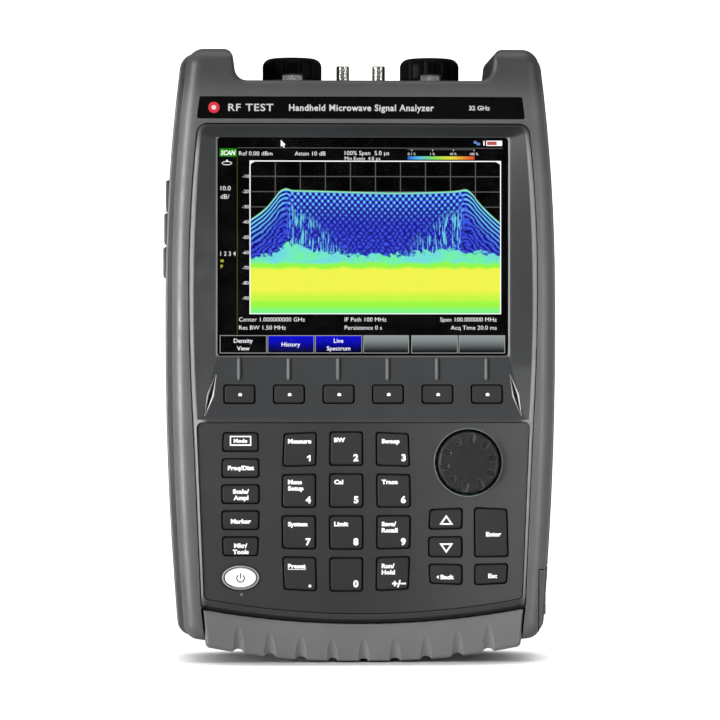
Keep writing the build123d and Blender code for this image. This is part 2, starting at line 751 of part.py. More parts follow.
def make_knob():
    body = rod_y(KNOB_X, KNOB_Z, KNOB_R, KNOB_FRONT_Y, KNOB_BACK_Y)
    body = fillet(front_edges(body), 1.8)
    body = fillet(back_edges(body), 0.5)
    dish_r = 160.0
    dish = Pos(KNOB_X, KNOB_FRONT_Y + 0.35 - dish_r, KNOB_Z) * Sphere(dish_r)
    body -= dish
    for i in range(KNOB_DIMPLES):
        turn = 2 * pi * (i + 0.28) / KNOB_DIMPLES
        body -= knob_dimple(turn)
    return body + rod_y(KNOB_X, KNOB_Z, SHAFT_R, KNOB_BACK_Y - 0.1, SHAFT_END_Y)


def knob_dimple(turn):
    """A short finger groove that runs in from the rim."""
    groove_r = 1.5
    start, end = KNOB_R - 3.9, KNOB_R + 3.0
    depth = KNOB_FRONT_Y - groove_r + 0.62
    length = end - start
    groove = Rot(0, 90, 0) * Cylinder(groove_r, length)
    groove += Pos(-length / 2, 0, 0) * Sphere(groove_r)
    spin = Pos(KNOB_X, depth, KNOB_Z) * Rot(0, -degrees(turn), 0)
    return spin * Pos((start + end) / 2, 0, 0) * Rot(0, 0, -7) * groove


# ---- rear housing and what moves on it ----------------------------------


def bail_outline(grow=0.0):
    """The stand as a U: two legs and a cross bar."""
    low, high = BAIL_Z
    wide = 2 * (BAIL_X + grow)
    outer = rounded_box(0, (low + high) / 2, wide, high - low + 2 * grow, 4)
    inner_low, inner_high = low + BAIL_BAR_H + grow, high + 60
    inner_wide = wide - 2 * (BAIL_LEG_W + 2 * grow)
    inner = rounded_box(0, (inner_low + inner_high) / 2, inner_wide, inner_high - inner_low, 4)
    return outer - inner


def make_bail():
    low, high = BAIL_Z
    mid_y = (BAIL_Y[0] + BAIL_Y[1]) / 2
    thick = BAIL_Y[1] - BAIL_Y[0]
    solid = plate(bail_outline(), *BAIL_Y)
    solid -= block((-90, 90), (0, 60), (high - 4.5, high + 20))
    for side in (1, -1):
        leg_out, leg_in = side * BAIL_X, side * (BAIL_X - BAIL_LEG_W)
        x_low, x_high = min(leg_out, leg_in), max(leg_out, leg_in)
        solid += block((x_low, x_high), BAIL_Y, (high - 5, high))
        solid += rod_x(mid_y, high, thick / 2, x_low, x_high)
        pin_end = side * (BAIL_X + BAIL_PIN_L)
        solid += rod_x(mid_y, high, BAIL_PIN_R, min(pin_end, leg_in), max(pin_end, leg_in))
    solid -= block((-12, 12), (BAIL_Y[1] - 1.4, 60), (low - 1, low + 3.2))
    return solid


def bail_recess():
    low, high = BAIL_Z
    outline = bail_outline(BAIL_GAP)
    recess = plate(outline, BAIL_SLOT_Y, REAR_Y + 5)
    top = high + (BAIL_Y[1] - BAIL_Y[0]) / 2 + BAIL_GAP
    for side in (1, -1):
        edges = sorted((side * (BAIL_X + BAIL_GAP), side * (BAIL_X - BAIL_LEG_W - BAIL_GAP)))
        recess += block(tuple(edges), (BAIL_SLOT_Y, REAR_Y + 5), (high - 6, top))
    finger = plate(rounded_box(0, low - 3.5, 24, 12, 4), REAR_Y - 3.2, REAR_Y + 5)
    return recess + finger


def cover_box(z, grow=0.0):
    """The space of one side cover, from its inner to its outer face."""
    face_x = -half_width(z)
    x = (face_x - COVER_PROUD, face_x + COVER_DEPTH + grow)
    y = (COVER_Y[0] - grow, COVER_Y[1] + grow)
    return block(x, y, (z - COVER_H / 2 - grow, z + COVER_H / 2 + grow))


def make_cover(z):
    solid = cover_box(z)
    outer = solid.faces().sort_by(Axis.X)[0]
    solid = fillet(outer.edges(), 1.1)
    face_x = -half_width(z)
    finger = rod_z(face_x - COVER_PROUD - 0.9, COVER_Y[0] + 3.0, 1.6, z - 4.5, z + 4.5)
    solid -= finger
    x, y = face_x + COVER_HINGE[0], COVER_HINGE[1]
    low, high = z - COVER_KNUCKLE_H / 2, z + COVER_KNUCKLE_H / 2
    solid += block((face_x - 1.1, face_x + 0.2), (COVER_Y[1] - 1.0, y), (low, high))
    solid += rod_z(x, y, COVER_KNUCKLE_R, low, high)
    return solid - rod_z(x, y, COVER_PIN_R + RUNNING, low - 1, high + 1)


def cover_knuckle_space(z):
    """Room in the side wall for a cover's hinge knuckle."""
    face_x = -half_width(z)
    x, y = face_x + COVER_HINGE[0], COVER_HINGE[1]
    reach = COVER_KNUCKLE_H / 2 + 0.15
    room = block((face_x - 3, face_x + 0.45), (COVER_Y[1], y + COVER_KNUCKLE_R), (z - reach, z + reach))
    return room + rod_z(x, y, COVER_KNUCKLE_R + 0.25, z - reach, z + reach)


def cover_ears(z):
    """Two ears and the pin that a side cover turns on."""
    face_x = -half_width(z)
    x, y = face_x + COVER_HINGE[0], COVER_HINGE[1]
    near, far = COVER_EAR_Z
    out = rod_z(x, y, COVER_PIN_R, z - far + 0.5, z + far - 0.5)
    for low, high in ((z - far, z - near), (z + near, z + far)):
        foot_y = (y - COVER_KNUCKLE_R + 0.1, y + COVER_KNUCKLE_R)
        out += rod_z(x, y, COVER_KNUCKLE_R, low, high)
        out += block((x, face_x + COVER_DEPTH), foot_y, (low, high))
    return out


def make_rear_housing():
    solid = case_half(0.0, PARTING_Y, REAR_Y, VALLEY_Z - 2, "back")
    ring = [e for e in front_edges(solid) if e.center().Z < HEIGHT - 1 or abs(e.center().X) > 70]
    solid = fillet(ring, 1.2)
    cavity = plate(barrel(CAVITY_INSET, CAVITY_LOW_Z, CAVITY_TOP_Z, 6), PARTING_Y - 1, REAR_CAVITY_Y)
    solid -= cavity - bail_ribs()
    for x, z in four_ways(CASE_SCREWS):
        solid += boss(x, z, BOSS_R, 0.0, PARTING_Y, REAR_CAVITY_Y + 0.5)
    for x, z in four_ways(CASE_SCREWS):
        solid -= rod_y(x, z, SCREW_R + 0.25, PARTING_Y - 1, REAR_Y + 1)
        solid -= rod_y(x, z, SCREW_HEAD_R + 0.4, REAR_CAVITY_Y, REAR_Y + 1)
    solid -= bay_cutter()
    solid -= battery_opening()
    solid -= door_space(DOOR_GAP)
    solid -= bail_recess()
    pivot_y = (BAIL_Y[0] + BAIL_Y[1]) / 2
    for side in (1, -1):
        ends = sorted((side * (BAIL_X - 1), side * (BAIL_X + BAIL_PIN_L + 0.3)))
        solid -= rod_x(pivot_y, BAIL_Z[1], BAIL_PIN_R + RUNNING, *ends)
    for z in COVER_Z:
        solid -= cover_box(z, COVER_POCKET)
        solid -= block((-100, -80), (COVER_Y[0] + 3, COVER_Y[1] - 4), (z - 5.2, z + 5.2))
        solid -= cover_knuckle_space(z)
        solid += cover_ears(z)
    solid -= door_knuckle_space()
    solid += door_ears()
    for i in range(GROOVES):
        slot = rounded_box((i - GROOVES // 2) * GROOVE_PITCH, GROOVE_Z, *GROOVE_SIZE, 1.19)
        solid -= plate(slot, REAR_Y - GROOVE_DEPTH, REAR_Y + 1)
    return solid


def bail_ribs():
    """Solid backing inside the case behind the stand's recess."""
    low, high = BAIL_Z
    ribs = block((-BAIL_X - 5, BAIL_X + 5), (RIB_Y, 40), (low - 3, low + BAIL_BAR_H + 3))
    for side in (1, -1):
        leg_x = sorted((side * (BAIL_X + 5), side * (BAIL_X - BAIL_LEG_W - 3)))
        ribs += block(tuple(leg_x), (RIB_Y, 40), (low - 3, high + 7))
    return ribs


def make_battery_door():
    lumps = case_half(FRONT_INSET, FRONT_Y, PARTING_Y, VALLEY_Z, "front")
    lumps += case_half(0.0, PARTING_Y, REAR_Y, VALLEY_Z - 2, "back")
    door = lumps & door_space()
    x, y = DOOR_HINGE
    low, high = DOOR_KNUCKLE_Z
    for ear_low, ear_high in door_ear_heights():
        door -= rod_z(x, y, DOOR_KNUCKLE_R + 0.3, ear_low - 0.3, ear_high + 0.3)
    door += block((DOOR_LEAF_X, x), (DOOR_Y[1] - 4.0, DOOR_Y[1] + 0.3), (low, high))
    door += rod_z(x, y, DOOR_KNUCKLE_R, low, high)
    return door - rod_z(x, y, DOOR_PIN_R + RUNNING, low - 1, high + 1)


def door_ear_heights():
    """Lowest and highest z of each ear beside the battery door's knuckle."""
    low, high = DOOR_KNUCKLE_Z
    return [(low - 0.3 - DOOR_EAR_H, low - 0.3), (high + 0.3, high + 0.3 + DOOR_EAR_H)]


def door_knuckle_space():
    """Room in the rear housing for the battery door's knuckle."""
    low, high = DOOR_KNUCKLE_Z
    return rod_z(*DOOR_HINGE, DOOR_KNUCKLE_R + 0.3, low - 0.3, high + 0.3)


def door_ears():
    """Two ears and the pin that the battery door turns on."""
    x, y = DOOR_HINGE
    ears = door_ear_heights()
    out = rod_z(x, y, DOOR_PIN_R, ears[0][0] + 1, ears[1][1] - 1)
    for low, high in ears:
        out += rod_z(x, y, DOOR_KNUCKLE_R, low, high)
        out += block((DOOR_LEAF_X - 1, x), (y + 0.3, y + 3.0), (low, high))
    return out


# ---- inside -------------------------------------------------------------


def dome(x, z):
    """One snap dome switch on the keypad board."""
    return fillet(front_edges(rod_y(x, z, DOME_R, DOME_TOP_Y, BOARD_Y[0])), 0.5)


def make_chassis():
    solid = plate(barrel(11.0, 40.5, 259, 5), *CHASSIS_Y)
    for x, z in four_ways(CASE_SCREWS):
        solid -= rod_y(x, z, BOSS_R + 0.5, -25, -10)
    solid -= plate(rounded_box(0, 200, 90, 60, 8), -25, -10)
    solid -= plate(rounded_box(0, 88, 70, 50, 8), -25, -10)
    solid += block((-76, 76), (CHASSIS_Y[0], 27), (38.5, 41.5))
    for x, z in post_places():
        solid += rod_y(x, z, 3.5, CHASSIS_Y[1] - 0.5, MAIN_BOARD_Y[0])
    for x, z in [(-70, 44), (70, 44), (-70, 118), (70, 118)]:
        solid += rod_y(x, z, 2.5, BOARD_Y[1], CHASSIS_Y[0] + 0.5)
    for x, z in post_places():
        solid -= rod_y(x, z, BOARD_SCREW_R + 0.05, -30, 0)
    for x, z in four_ways(CHASSIS_SCREWS):
        solid -= rod_y(x, z, BOARD_SCREW_R + 0.15, -30, 0)
    return solid


def post_places():
    return four_ways(BOARD_POSTS)


def make_main_board():
    solid = plate(rounded_box(0, 144, 144, 196, 3), *MAIN_BOARD_Y)
    back = MAIN_BOARD_Y[1]
    chips = [(0, 90, 34), (-42, 88, 22), (40, 92, 22), (-20, 124, 14), (26, 126, 16), (-40, 66, 12)]
    for x, z, size in chips:
        chip = rounded_box(x, z, size, size, 0.8)
        solid += plate(chip, back - 0.1, back + 2.4)
    for x, z in post_places():
        solid -= rod_y(x, z, BOARD_SCREW_R + 0.15, -30, 0)
    return solid


def make_rf_module():
    solid = block((-58, 58), (-5, 22), (152, 257))
    solid = fillet(solid.edges().filter_by(Axis.Y), 3)
    for i in range(-4, 5):
        solid -= block((i * 12 - 2.5, i * 12 + 2.5), (17, 30), (158, 251))
    return solid


def screw(x, z, kind, seat_y):
    """A pan-head screw whose head sits behind seat_y.

    kind is its radius, head radius, head height and length.
    """
    radius, head_r, head_t, length = kind
    head = rod_y(x, z, head_r, seat_y, seat_y + head_t)
    head = fillet(back_edges(head), head_t * 0.35)
    hexagon = Pos(x, z) * RegularPolygon(head_r * 0.5, 6)
    socket = plate(hexagon, seat_y + head_t * 0.45, seat_y + head_t + 1)
    return head - socket + rod_y(x, z, radius, seat_y - length, seat_y + 0.3)


def make_port(x):
    base = rod_z(x, CONNECTOR_Y, 9.5, PLATE_TOP_Z, PLATE_TOP_Z + 2.2)
    base = chamfer(base.edges().sort_by(Axis.Z)[-1], 0.5)
    nut = Pos(x, CONNECTOR_Y, PLATE_TOP_Z + 2.0) * extrude(RegularPolygon(7.6, 6), amount=4.0)
    stem = rod_z(x, CONNECTOR_Y, PORT_R, PLATE_TOP_Z + 4.0, PORT_TOP_Z)
    stem = chamfer(stem.edges().sort_by(Axis.Z)[-1], 0.5)
    socket = rod_z(x, CONNECTOR_Y, 3.4, PORT_TOP_Z - 6, PORT_TOP_Z + 1)
    pin = rod_z(x, CONNECTOR_Y, 0.7, PORT_TOP_Z - 7, PORT_TOP_Z - 1.5)
    tail = rod_z(x, CONNECTOR_Y, PORT_TAIL_R, 258.0, PLATE_TOP_Z + 5)
    return base + nut + stem + tail - socket + pin


def make_cap(x):
    low, high = CAP_Z
    solid = rod_z(x, CONNECTOR_Y, CAP_R, low, high)
    solid = fillet(solid.edges().sort_by(Axis.Z)[-1], CAP_DOME_R)
    solid = fillet(solid.edges().sort_by(Axis.Z)[0], 1.0)
    for i in range(CAP_LOBES):
        turn = 2 * pi * (i + 0.5) / CAP_LOBES
        reach = CAP_R + 1.7
        groove = rod_z(x + reach * cos(turn), CONNECTOR_Y + reach * sin(turn), 2.7, low - 1, high + 1)
        solid -= groove
    bore = rod_z(x, CONNECTOR_Y, PORT_R + 0.07, low - 1, PORT_TOP_Z + 0.2)
    wide, tall = CAP_SLOT
    slot = block((x - wide / 2, x + wide / 2), (-30, 30), (low - 1, low + tall))
    return solid - bore - fillet(slot.edges().filter_by(Axis.Y), 0.6)


def make_sma(x):
    stem = rod_z(x, CONNECTOR_Y, SMA_R, PLATE_TOP_Z + 2.0, SMA_TOP_Z)
    stem = chamfer(stem.edges().sort_by(Axis.Z)[-1], 0.3)
    stem += rod_z(x, CONNECTOR_Y, SMA_TAIL_R, 258.0, PLATE_TOP_Z + 2.2)
    nut = Pos(x, CONNECTOR_Y, PLATE_TOP_Z) * extrude(RegularPolygon(4.9, 6), amount=2.4)
    socket = rod_z(x, CONNECTOR_Y, 2.3, SMA_TOP_Z - 5, SMA_TOP_Z + 1)
    pin = rod_z(x, CONNECTOR_Y, 0.6, SMA_TOP_Z - 6, SMA_TOP_Z - 1.5)
    return stem + nut - socket + pin


def make_connector_plate():
    x = BAY_X - 0.2
    y = (BAY_Y[0] + 0.2, BAY_Y[1] - 0.2)
    solid = block((-x, x), y, (PLATE_BOTTOM_Z, PLATE_TOP_Z))
    solid = fillet(solid.edges().filter_by(Axis.Z), 4.8)
    for side in (1, -1):
        solid -= rod_z(side * PORT_X, CONNECTOR_Y, PORT_TAIL_R + 0.05, 200, 300)
        solid -= rod_z(side * SMA_X, CONNECTOR_Y, SMA_TAIL_R + 0.05, 200, 300)
    return solid


def make_io_jacks():
    board = block((-74.0, -72.4), (-10.3, 26), (182, 233))
    solid = board
    for z in COVER_Z:
        y = (COVER_Y[0] + 5.5, COVER_Y[1] - 6.5)
        jack = block((-89.5, -73.9), y, (z - 3.6, z + 3.6))
        jack -= block((-95, -80), (y[0] + 0.7, y[1] - 0.7), (z - 2.9, z + 2.9))
        tongue = block((-88.5, -79.5), (y[0] + 2, y[1] - 2), (z - 0.8, z + 0.8))
        solid += jack + tongue
    return solid


def make_case_gasket():
    """A thin rubber cord between the housings, inside the screw bosses' line."""
    ring = barrel(CAVITY_INSET - 1.2, CAVITY_LOW_Z - 1.2, CAVITY_TOP_Z + 1.0, 7)
    hole = barrel(CAVITY_INSET - 0.4, CAVITY_LOW_Z - 0.4, CAVITY_TOP_Z + 0.2, 6.3)
    cord = plate(ring - hole, PARTING_Y - 0.4, PARTING_Y + 0.4)
    return cord - bay_cutter() - battery_opening() - door_space(DOOR_GAP + 0.3)


# ---- write every piece --------------------------------------------------

gasket = make_case_gasket()
save("case_gasket", gasket)
front_housing = make_front_housing() - gasket
save("front_housing", front_housing)
rear_housing = make_rear_housing() - gasket
save("rear_housing", rear_housing)
save("battery_door", make_battery_door())
save("display_bezel", make_bezel())
save("keypad_panel", make_panel())
save("bottom_bumper", make_bumper())
save("name_plate", plate(name_plate_outline(), *PLATE_Y))

save("display_window", plate(window_outline(), WINDOW_Y, WINDOW_Y + WINDOW_T))
gasket_back = WINDOW_Y + WINDOW_T + GASKET_T
opening = window_outline(-GASKET_EDGE)
save("window_gasket", plate(window_outline() - opening, WINDOW_Y + WINDOW_T, gasket_back))
lcd = rounded_box(0, DISPLAY_Z, 2 * LCD_HALF_W, LCD_H, 1.5)
save("lcd_module", plate(lcd, gasket_back, gasket_back + LCD_T))

keypad_board = plate(rounded_box(0, 84.2, 146, 106.4, 3), *BOARD_Y)
keypad_board -= rod_y(KNOB_X, KNOB_Z, SHAFT_R + 0.6, -40, 0)
save("keypad_board", keypad_board)
dome_places = [(x, z) for name, x, z, size, box in KEYS] + [(POWER_X, POWER_Z)]
dome_places += [(x, SOFTKEY_Z) for x in SOFTKEY_X]
save("dome_switches", *[dome(x, z) for x, z in dome_places])

for name, x, z, size, box in KEYS:
    save(name, keypad_key(x, z, size, box))
save("power_key", power_button())
for number, x in enumerate(SOFTKEY_X, start=1):
    save(f"softkey_{number}", softkey(x))

save("tuning_knob", make_knob())
encoder = block((KNOB_X - 7, KNOB_X + 7), (BOARD_Y[1], CHASSIS_Y[0] - 0.3), (KNOB_Z - 7, KNOB_Z + 7))
encoder -= rod_y(KNOB_X, KNOB_Z, SHAFT_R + RUNNING, -40, SHAFT_END_Y + 0.3)
save("encoder", encoder)

save("mid_chassis", make_chassis())
save("main_board", make_main_board())
save("rf_module", make_rf_module())
battery = block(BATTERY_X, BATTERY_Y, BATTERY_Z)
save("battery_pack", fillet(battery.edges().filter_by(Axis.X), 3))

save("connector_plate", make_connector_plate())
save("rf_ports", make_port(-PORT_X), make_port(PORT_X))
save("port_cap_left", make_cap(-PORT_X))
save("port_cap_right", make_cap(PORT_X))
save("sma_connectors", make_sma(-SMA_X), make_sma(SMA_X))
save("io_jacks", make_io_jacks())
for name, z in zip(COVER_NAMES, COVER_Z):
    save(name, make_cover(z))
save("bail_stand", make_bail())

case_screws = [screw(x, z, CASE_SCREW, REAR_CAVITY_Y) for x, z in four_ways(CASE_SCREWS)]
save("case_screws", *case_screws)
board_screws = [screw(x, z, BOARD_SCREW, MAIN_BOARD_Y[1]) for x, z in post_places()]
board_screws += [screw(x, z, BOARD_SCREW, CHASSIS_Y[1]) for x, z in four_ways(CHASSIS_SCREWS)]
save("board_screws", *board_screws)
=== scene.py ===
import json
import math

import bmesh
import bpy
from mathutils import Matrix, Vector

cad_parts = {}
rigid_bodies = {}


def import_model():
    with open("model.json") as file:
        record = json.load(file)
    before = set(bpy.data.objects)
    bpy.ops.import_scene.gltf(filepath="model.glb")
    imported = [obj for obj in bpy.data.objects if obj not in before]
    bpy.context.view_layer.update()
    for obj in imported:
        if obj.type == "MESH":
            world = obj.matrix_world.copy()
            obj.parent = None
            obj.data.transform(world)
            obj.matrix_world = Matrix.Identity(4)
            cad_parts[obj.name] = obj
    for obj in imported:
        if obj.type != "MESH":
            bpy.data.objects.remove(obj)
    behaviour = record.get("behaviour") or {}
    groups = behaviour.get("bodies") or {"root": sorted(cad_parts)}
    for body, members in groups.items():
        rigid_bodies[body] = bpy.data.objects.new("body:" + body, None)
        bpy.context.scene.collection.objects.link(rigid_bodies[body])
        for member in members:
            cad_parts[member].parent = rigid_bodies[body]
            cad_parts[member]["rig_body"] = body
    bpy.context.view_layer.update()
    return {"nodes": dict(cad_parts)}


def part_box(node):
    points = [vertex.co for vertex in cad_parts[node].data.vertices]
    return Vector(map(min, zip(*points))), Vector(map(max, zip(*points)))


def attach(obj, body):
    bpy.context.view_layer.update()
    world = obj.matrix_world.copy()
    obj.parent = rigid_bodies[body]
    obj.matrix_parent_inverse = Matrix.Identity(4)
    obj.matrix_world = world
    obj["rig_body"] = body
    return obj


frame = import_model()
NODES = frame["nodes"]
MM = 0.001


# ---- places taken from the frame ----------------------------------------


def span(node):
    """Lowest and highest corner of a CAD node, in millimetres."""
    low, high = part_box(node)
    return low / MM, high / MM


def centre(node):
    low, high = span(node)
    return (low + high) / 2


def size(node):
    low, high = span(node)
    return high - low


def body_of(node):
    return NODES[node]["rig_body"]


# ---- node trees ---------------------------------------------------------


class Shader:
    """A material's node tree, built by short calls."""

    def __init__(self, name):
        self.material = bpy.data.materials.new(name)
        self.material.use_nodes = True
        self.tree = self.material.node_tree
        self.tree.nodes.clear()

    def add(self, kind, settings=None, **inputs):
        node = self.tree.nodes.new("ShaderNode" + kind)
        for key, value in (settings or {}).items():
            setattr(node, key, value)
        for key, value in inputs.items():
            self.put(node.inputs[key.replace("_", " ")], value)
        return node

    def put(self, socket, value):
        if isinstance(value, bpy.types.NodeSocket):
            self.tree.links.new(value, socket)
        else:
            socket.default_value = value

    def math(self, operation, *values, clamp=False):
        node = self.add("Math", {"operation": operation, "use_clamp": clamp})
        for socket, value in zip(node.inputs, values):
            self.put(socket, value)
        return node.outputs[0]

    def ramp(self, value, low, high, to_low=0.0, to_high=1.0, smooth=True):
        kind = "SMOOTHSTEP" if smooth else "LINEAR"
        node = self.add("MapRange", {"interpolation_type": kind, "clamp": True})
        for socket, number in zip(node.inputs[:5], (value, low, high, to_low, to_high)):
            self.put(socket, number)
        return node.outputs[0]

    def mix(self, share, first, second):
        node = self.add("Mix", {"data_type": "RGBA"})
        self.put(node.inputs[0], share)
        self.put(node.inputs[6], first)
        self.put(node.inputs[7], second)
        return node.outputs[2]

    def place(self):
        """Object coordinates in millimetres, as (x, y, z) sockets."""
        where = self.add("TexCoord").outputs["Object"]
        scaled = self.add("VectorMath", {"operation": "SCALE"}, Vector=where, Scale=1 / MM).outputs[0]
        split = self.add("SeparateXYZ", Vector=scaled)
        self.position = scaled
        return split.outputs[0], split.outputs[1], split.outputs[2]

    def noise(self, grain_mm, detail=2.0, stretch=None, roughness=0.5):
        """Noise whose grains are about grain_mm across, from 0 to 1."""
        where = self.add("TexCoord").outputs["Object"]
        if stretch:
            where = self.add("Mapping", Vector=where, Scale=stretch).outputs[0]
        node = self.add("TexNoise", Vector=where, Scale=1 / (grain_mm * MM), Detail=detail, Roughness=roughness)
        return node.outputs["Fac"]

    def bump(self, height, strength, depth_mm, normal=None):
        node = self.add("Bump", Height=height, Strength=strength, Distance=depth_mm * MM)
        if normal is not None:
            self.put(node.inputs["Normal"], normal)
        return node.outputs[0]

    def edges(self, radius_mm):
        """Share from 0 on a flat stretch to 1 on a sharp edge, and the softened normal."""
        soft = self.add("Bevel", {"samples": 4}, Radius=radius_mm * MM).outputs[0]
        flat = self.add("NewGeometry").outputs["Normal"]
        dot = self.add("VectorMath", {"operation": "DOT_PRODUCT"})
        self.put(dot.inputs[0], soft)
        self.put(dot.inputs[1], flat)
        return self.ramp(dot.outputs["Value"], 0.995, 0.86), soft

    def crevice(self, reach_mm=2.0):
        """Share from 0 in the open to 1 deep in a narrow gap."""
        seen = self.add("AmbientOcclusion", {"samples": 4}, Distance=reach_mm * MM).outputs["AO"]
        return self.ramp(seen, 0.62, 0.3)

    def finish(self, surface):
        output = self.add("OutputMaterial")
        self.tree.links.new(surface, output.inputs["Surface"])
        return self.material


def grey(value, tint=0.0):
    """A grey with a slight shift towards blue."""
    return (value * (1 - tint), value, value * (1 + tint), 1.0)


def shade(colour, factor):
    return tuple(min(c * factor, 1.0) for c in colour[:3]) + (1.0,)


def moulded(name, colour, roughness, grain_mm, grain, specular=0.4, pale_edges=0.35, bright=2.3, edge_mm=0.35,
            coat=0.0, tone=None):
    """Moulded plastic or rubber: fine spark-eroded grain, soft mottling, and paler edges that are partly real wear and
    partly painted highlight; narrow gaps get painted shade.
    """
    s = Shader(name)
    mottle = s.noise(22.0, detail=3.0)
    fine = s.noise(grain_mm, detail=2.0)
    smudge = s.noise(7.0, detail=4.0, roughness=0.6)
    base = s.mix(s.ramp(mottle, 0.3, 0.7), shade(colour, 0.94), shade(colour, 1.06))
    base = s.mix(s.ramp(fine, 0.35, 0.75, 0.0, 0.25), base, shade(colour, 1.35))
    # paler edges: partly real wear, partly a painted highlight on edges that catch the light
    edge, soft = s.edges(edge_mm)
    worn_and_highlit = s.math("MULTIPLY", edge, s.ramp(smudge, 0.3, 0.62, 0.35, 1.0))
    base = s.mix(s.math("MULTIPLY", worn_and_highlit, pale_edges), base, shade(colour, bright))
    # painted shade: ambient occlusion darkens narrow gaps and takes their reflection away; the tone's dark share is
    # added to it
    deep = s.crevice()
    if tone:
        base, dull = tone(s, base)
        deep = s.math("MAXIMUM", deep, dull)
    base = s.mix(deep, base, shade(colour, 0.04))
    rough = s.math("ADD", s.ramp(smudge, 0.25, 0.75, roughness - 0.05, roughness + 0.06), 0.0)
    rough = s.math("SUBTRACT", rough, s.math("MULTIPLY", worn_and_highlit, 0.14))
    normal = s.bump(fine, grain, 0.04, soft)
    shell = s.add("BsdfPrincipled", Roughness=rough, Normal=normal)
    s.put(shell.inputs["Base Color"], base)
    s.put(shell.inputs["Specular IOR Level"], s.math("MULTIPLY", s.math("SUBTRACT", 1.0, deep), specular))
    s.put(shell.inputs["Coat Weight"], coat)
    s.put(shell.inputs["Coat Roughness"], 0.18)
    return s.finish(shell.outputs[0])


def metal(name, colour, roughness, brush=None, pale_edges=0.3, painted_glow=0.0):
    """Bare metal with brushed lines, tarnish and bright edges; a painted glow lifts metal that sits in deep shade."""
    s = Shader(name)
    lines = s.noise(0.5, detail=3.0, stretch=brush or (1, 1, 1))
    tarnish = s.noise(4.0, detail=4.0)
    base = s.mix(s.ramp(tarnish, 0.3, 0.8), colour, shade(colour, 0.72))
    edge, soft = s.edges(0.15)
    base = s.mix(s.math("MULTIPLY", edge, pale_edges), base, shade(colour, 1.25))
    rough = s.ramp(lines, 0.25, 0.75, max(roughness - 0.07, 0.03), roughness + 0.1)
    normal = s.bump(lines, 0.12, 0.02, soft)
    shell = s.add("BsdfPrincipled", Metallic=1.0, Roughness=rough, Normal=normal)
    s.put(shell.inputs["Base Color"], base)
    # painted glow: emission, though the metal is no lamp, to lift it out of deep shade
    s.put(shell.inputs["Emission Color"], base)
    s.put(shell.inputs["Emission Strength"], s.ramp(lines, 0.35, 0.6, painted_glow * 0.4, painted_glow))
    return s.finish(shell.outputs[0])


def ink(name, colour, glow=0.0, roughness=0.5):
    """Printed ink with faint uneven coverage; glow gives the print a painted glow, though it is no lamp."""
    s = Shader(name)
    cover = s.noise(0.35, detail=2.0)
    base = s.mix(s.ramp(cover, 0.3, 0.7), shade(colour, 0.86), colour)
    shell = s.add("BsdfPrincipled", Roughness=s.ramp(cover, 0.3, 0.7, roughness, roughness + 0.15))
    s.put(shell.inputs["Base Color"], base)
    s.put(shell.inputs["Normal"], s.bump(cover, 0.2, 0.01))
    # painted glow on the print
    if glow:
        s.put(shell.inputs["Emission Color"], base)
        s.put(shell.inputs["Emission Strength"], glow)
    return s.finish(shell.outputs[0])


def lit(name, colour, strength=1.0):
    """A lit part of the display: plain light with a faint row pattern."""
    s = Shader(name)
    x, y, z = s.place()
    rows = s.math("SINE", s.math("MULTIPLY", z, 2 * math.pi / 0.21))
    level = s.ramp(rows, -1.0, 1.0, 0.9 * strength, strength)
    glow = s.add("Emission", Color=colour, Strength=level)
    return s.finish(glow.outputs[0])


def circuit_board():
    """Green solder mask with copper tracks under it and bare pads, with painted shade where other parts cover it."""
    s = Shader("circuit_board")
    where = s.add("TexCoord").outputs["Object"]
    bricks = s.add("TexBrick", {"offset": 0.5}, Vector=where, Scale=220.0, Mortar_Size=0.06)
    s.put(bricks.inputs["Color1"], (0.012, 0.09, 0.035, 1))
    s.put(bricks.inputs["Color2"], (0.016, 0.12, 0.05, 1))
    s.put(bricks.inputs["Mortar"], (0.03, 0.2, 0.08, 1))
    cover = s.noise(1.2, detail=3.0)
    base = s.mix(s.ramp(cover, 0.62, 0.66), bricks.outputs["Color"], (0.5, 0.42, 0.2, 1))
    # painted shade: occlusion darkens the board and takes its reflection away where parts sit close above it
    covered_shade = s.crevice(9.0)
    base = s.mix(covered_shade, base, grey(0.0005))
    shell = s.add("BsdfPrincipled", Roughness=s.ramp(cover, 0.3, 0.8, 0.25, 0.45))
    s.put(shell.inputs["Base Color"], base)
    s.put(shell.inputs["Specular IOR Level"], s.math("MULTIPLY", s.math("SUBTRACT", 1.0, covered_shade), 0.5))
    s.put(shell.inputs["Normal"], s.bump(bricks.outputs["Fac"], 0.2, 0.04))
    return s.finish(shell.outputs[0])


def clear_window():
    """A hard-coated window: light passes straight through, with a faint reflection and a thin film of grease."""
    s = Shader("window_clear")
    film = s.ramp(s.noise(9.0, detail=5.0), 0.35, 0.75, 0.0, 0.004)
    facing = s.add("Fresnel", IOR=1.42)
    gloss = s.add("BsdfGlossy", Roughness=s.ramp(s.noise(6.0), 0.3, 0.7, 0.4, 0.5))
    s.put(gloss.inputs["Color"], (0.5, 0.5, 0.5, 1))
    clear = s.add("BsdfTransparent", Color=(0.97, 0.97, 0.97, 1))
    blend = s.add("MixShader", Fac=s.math("MULTIPLY", facing.outputs[0], 0.05))
    s.put(blend.inputs[1], clear.outputs[0])
    s.put(blend.inputs[2], gloss.outputs[0])
    haze = s.add("BsdfDiffuse", Color=(0.5, 0.5, 0.5, 1))
    whole = s.add("MixShader", Fac=film)
    s.put(whole.inputs[1], blend.outputs[0])
    s.put(whole.inputs[2], haze.outputs[0])
    return s.finish(whole.outputs[0])


# ---- the display's picture ----------------------------------------------

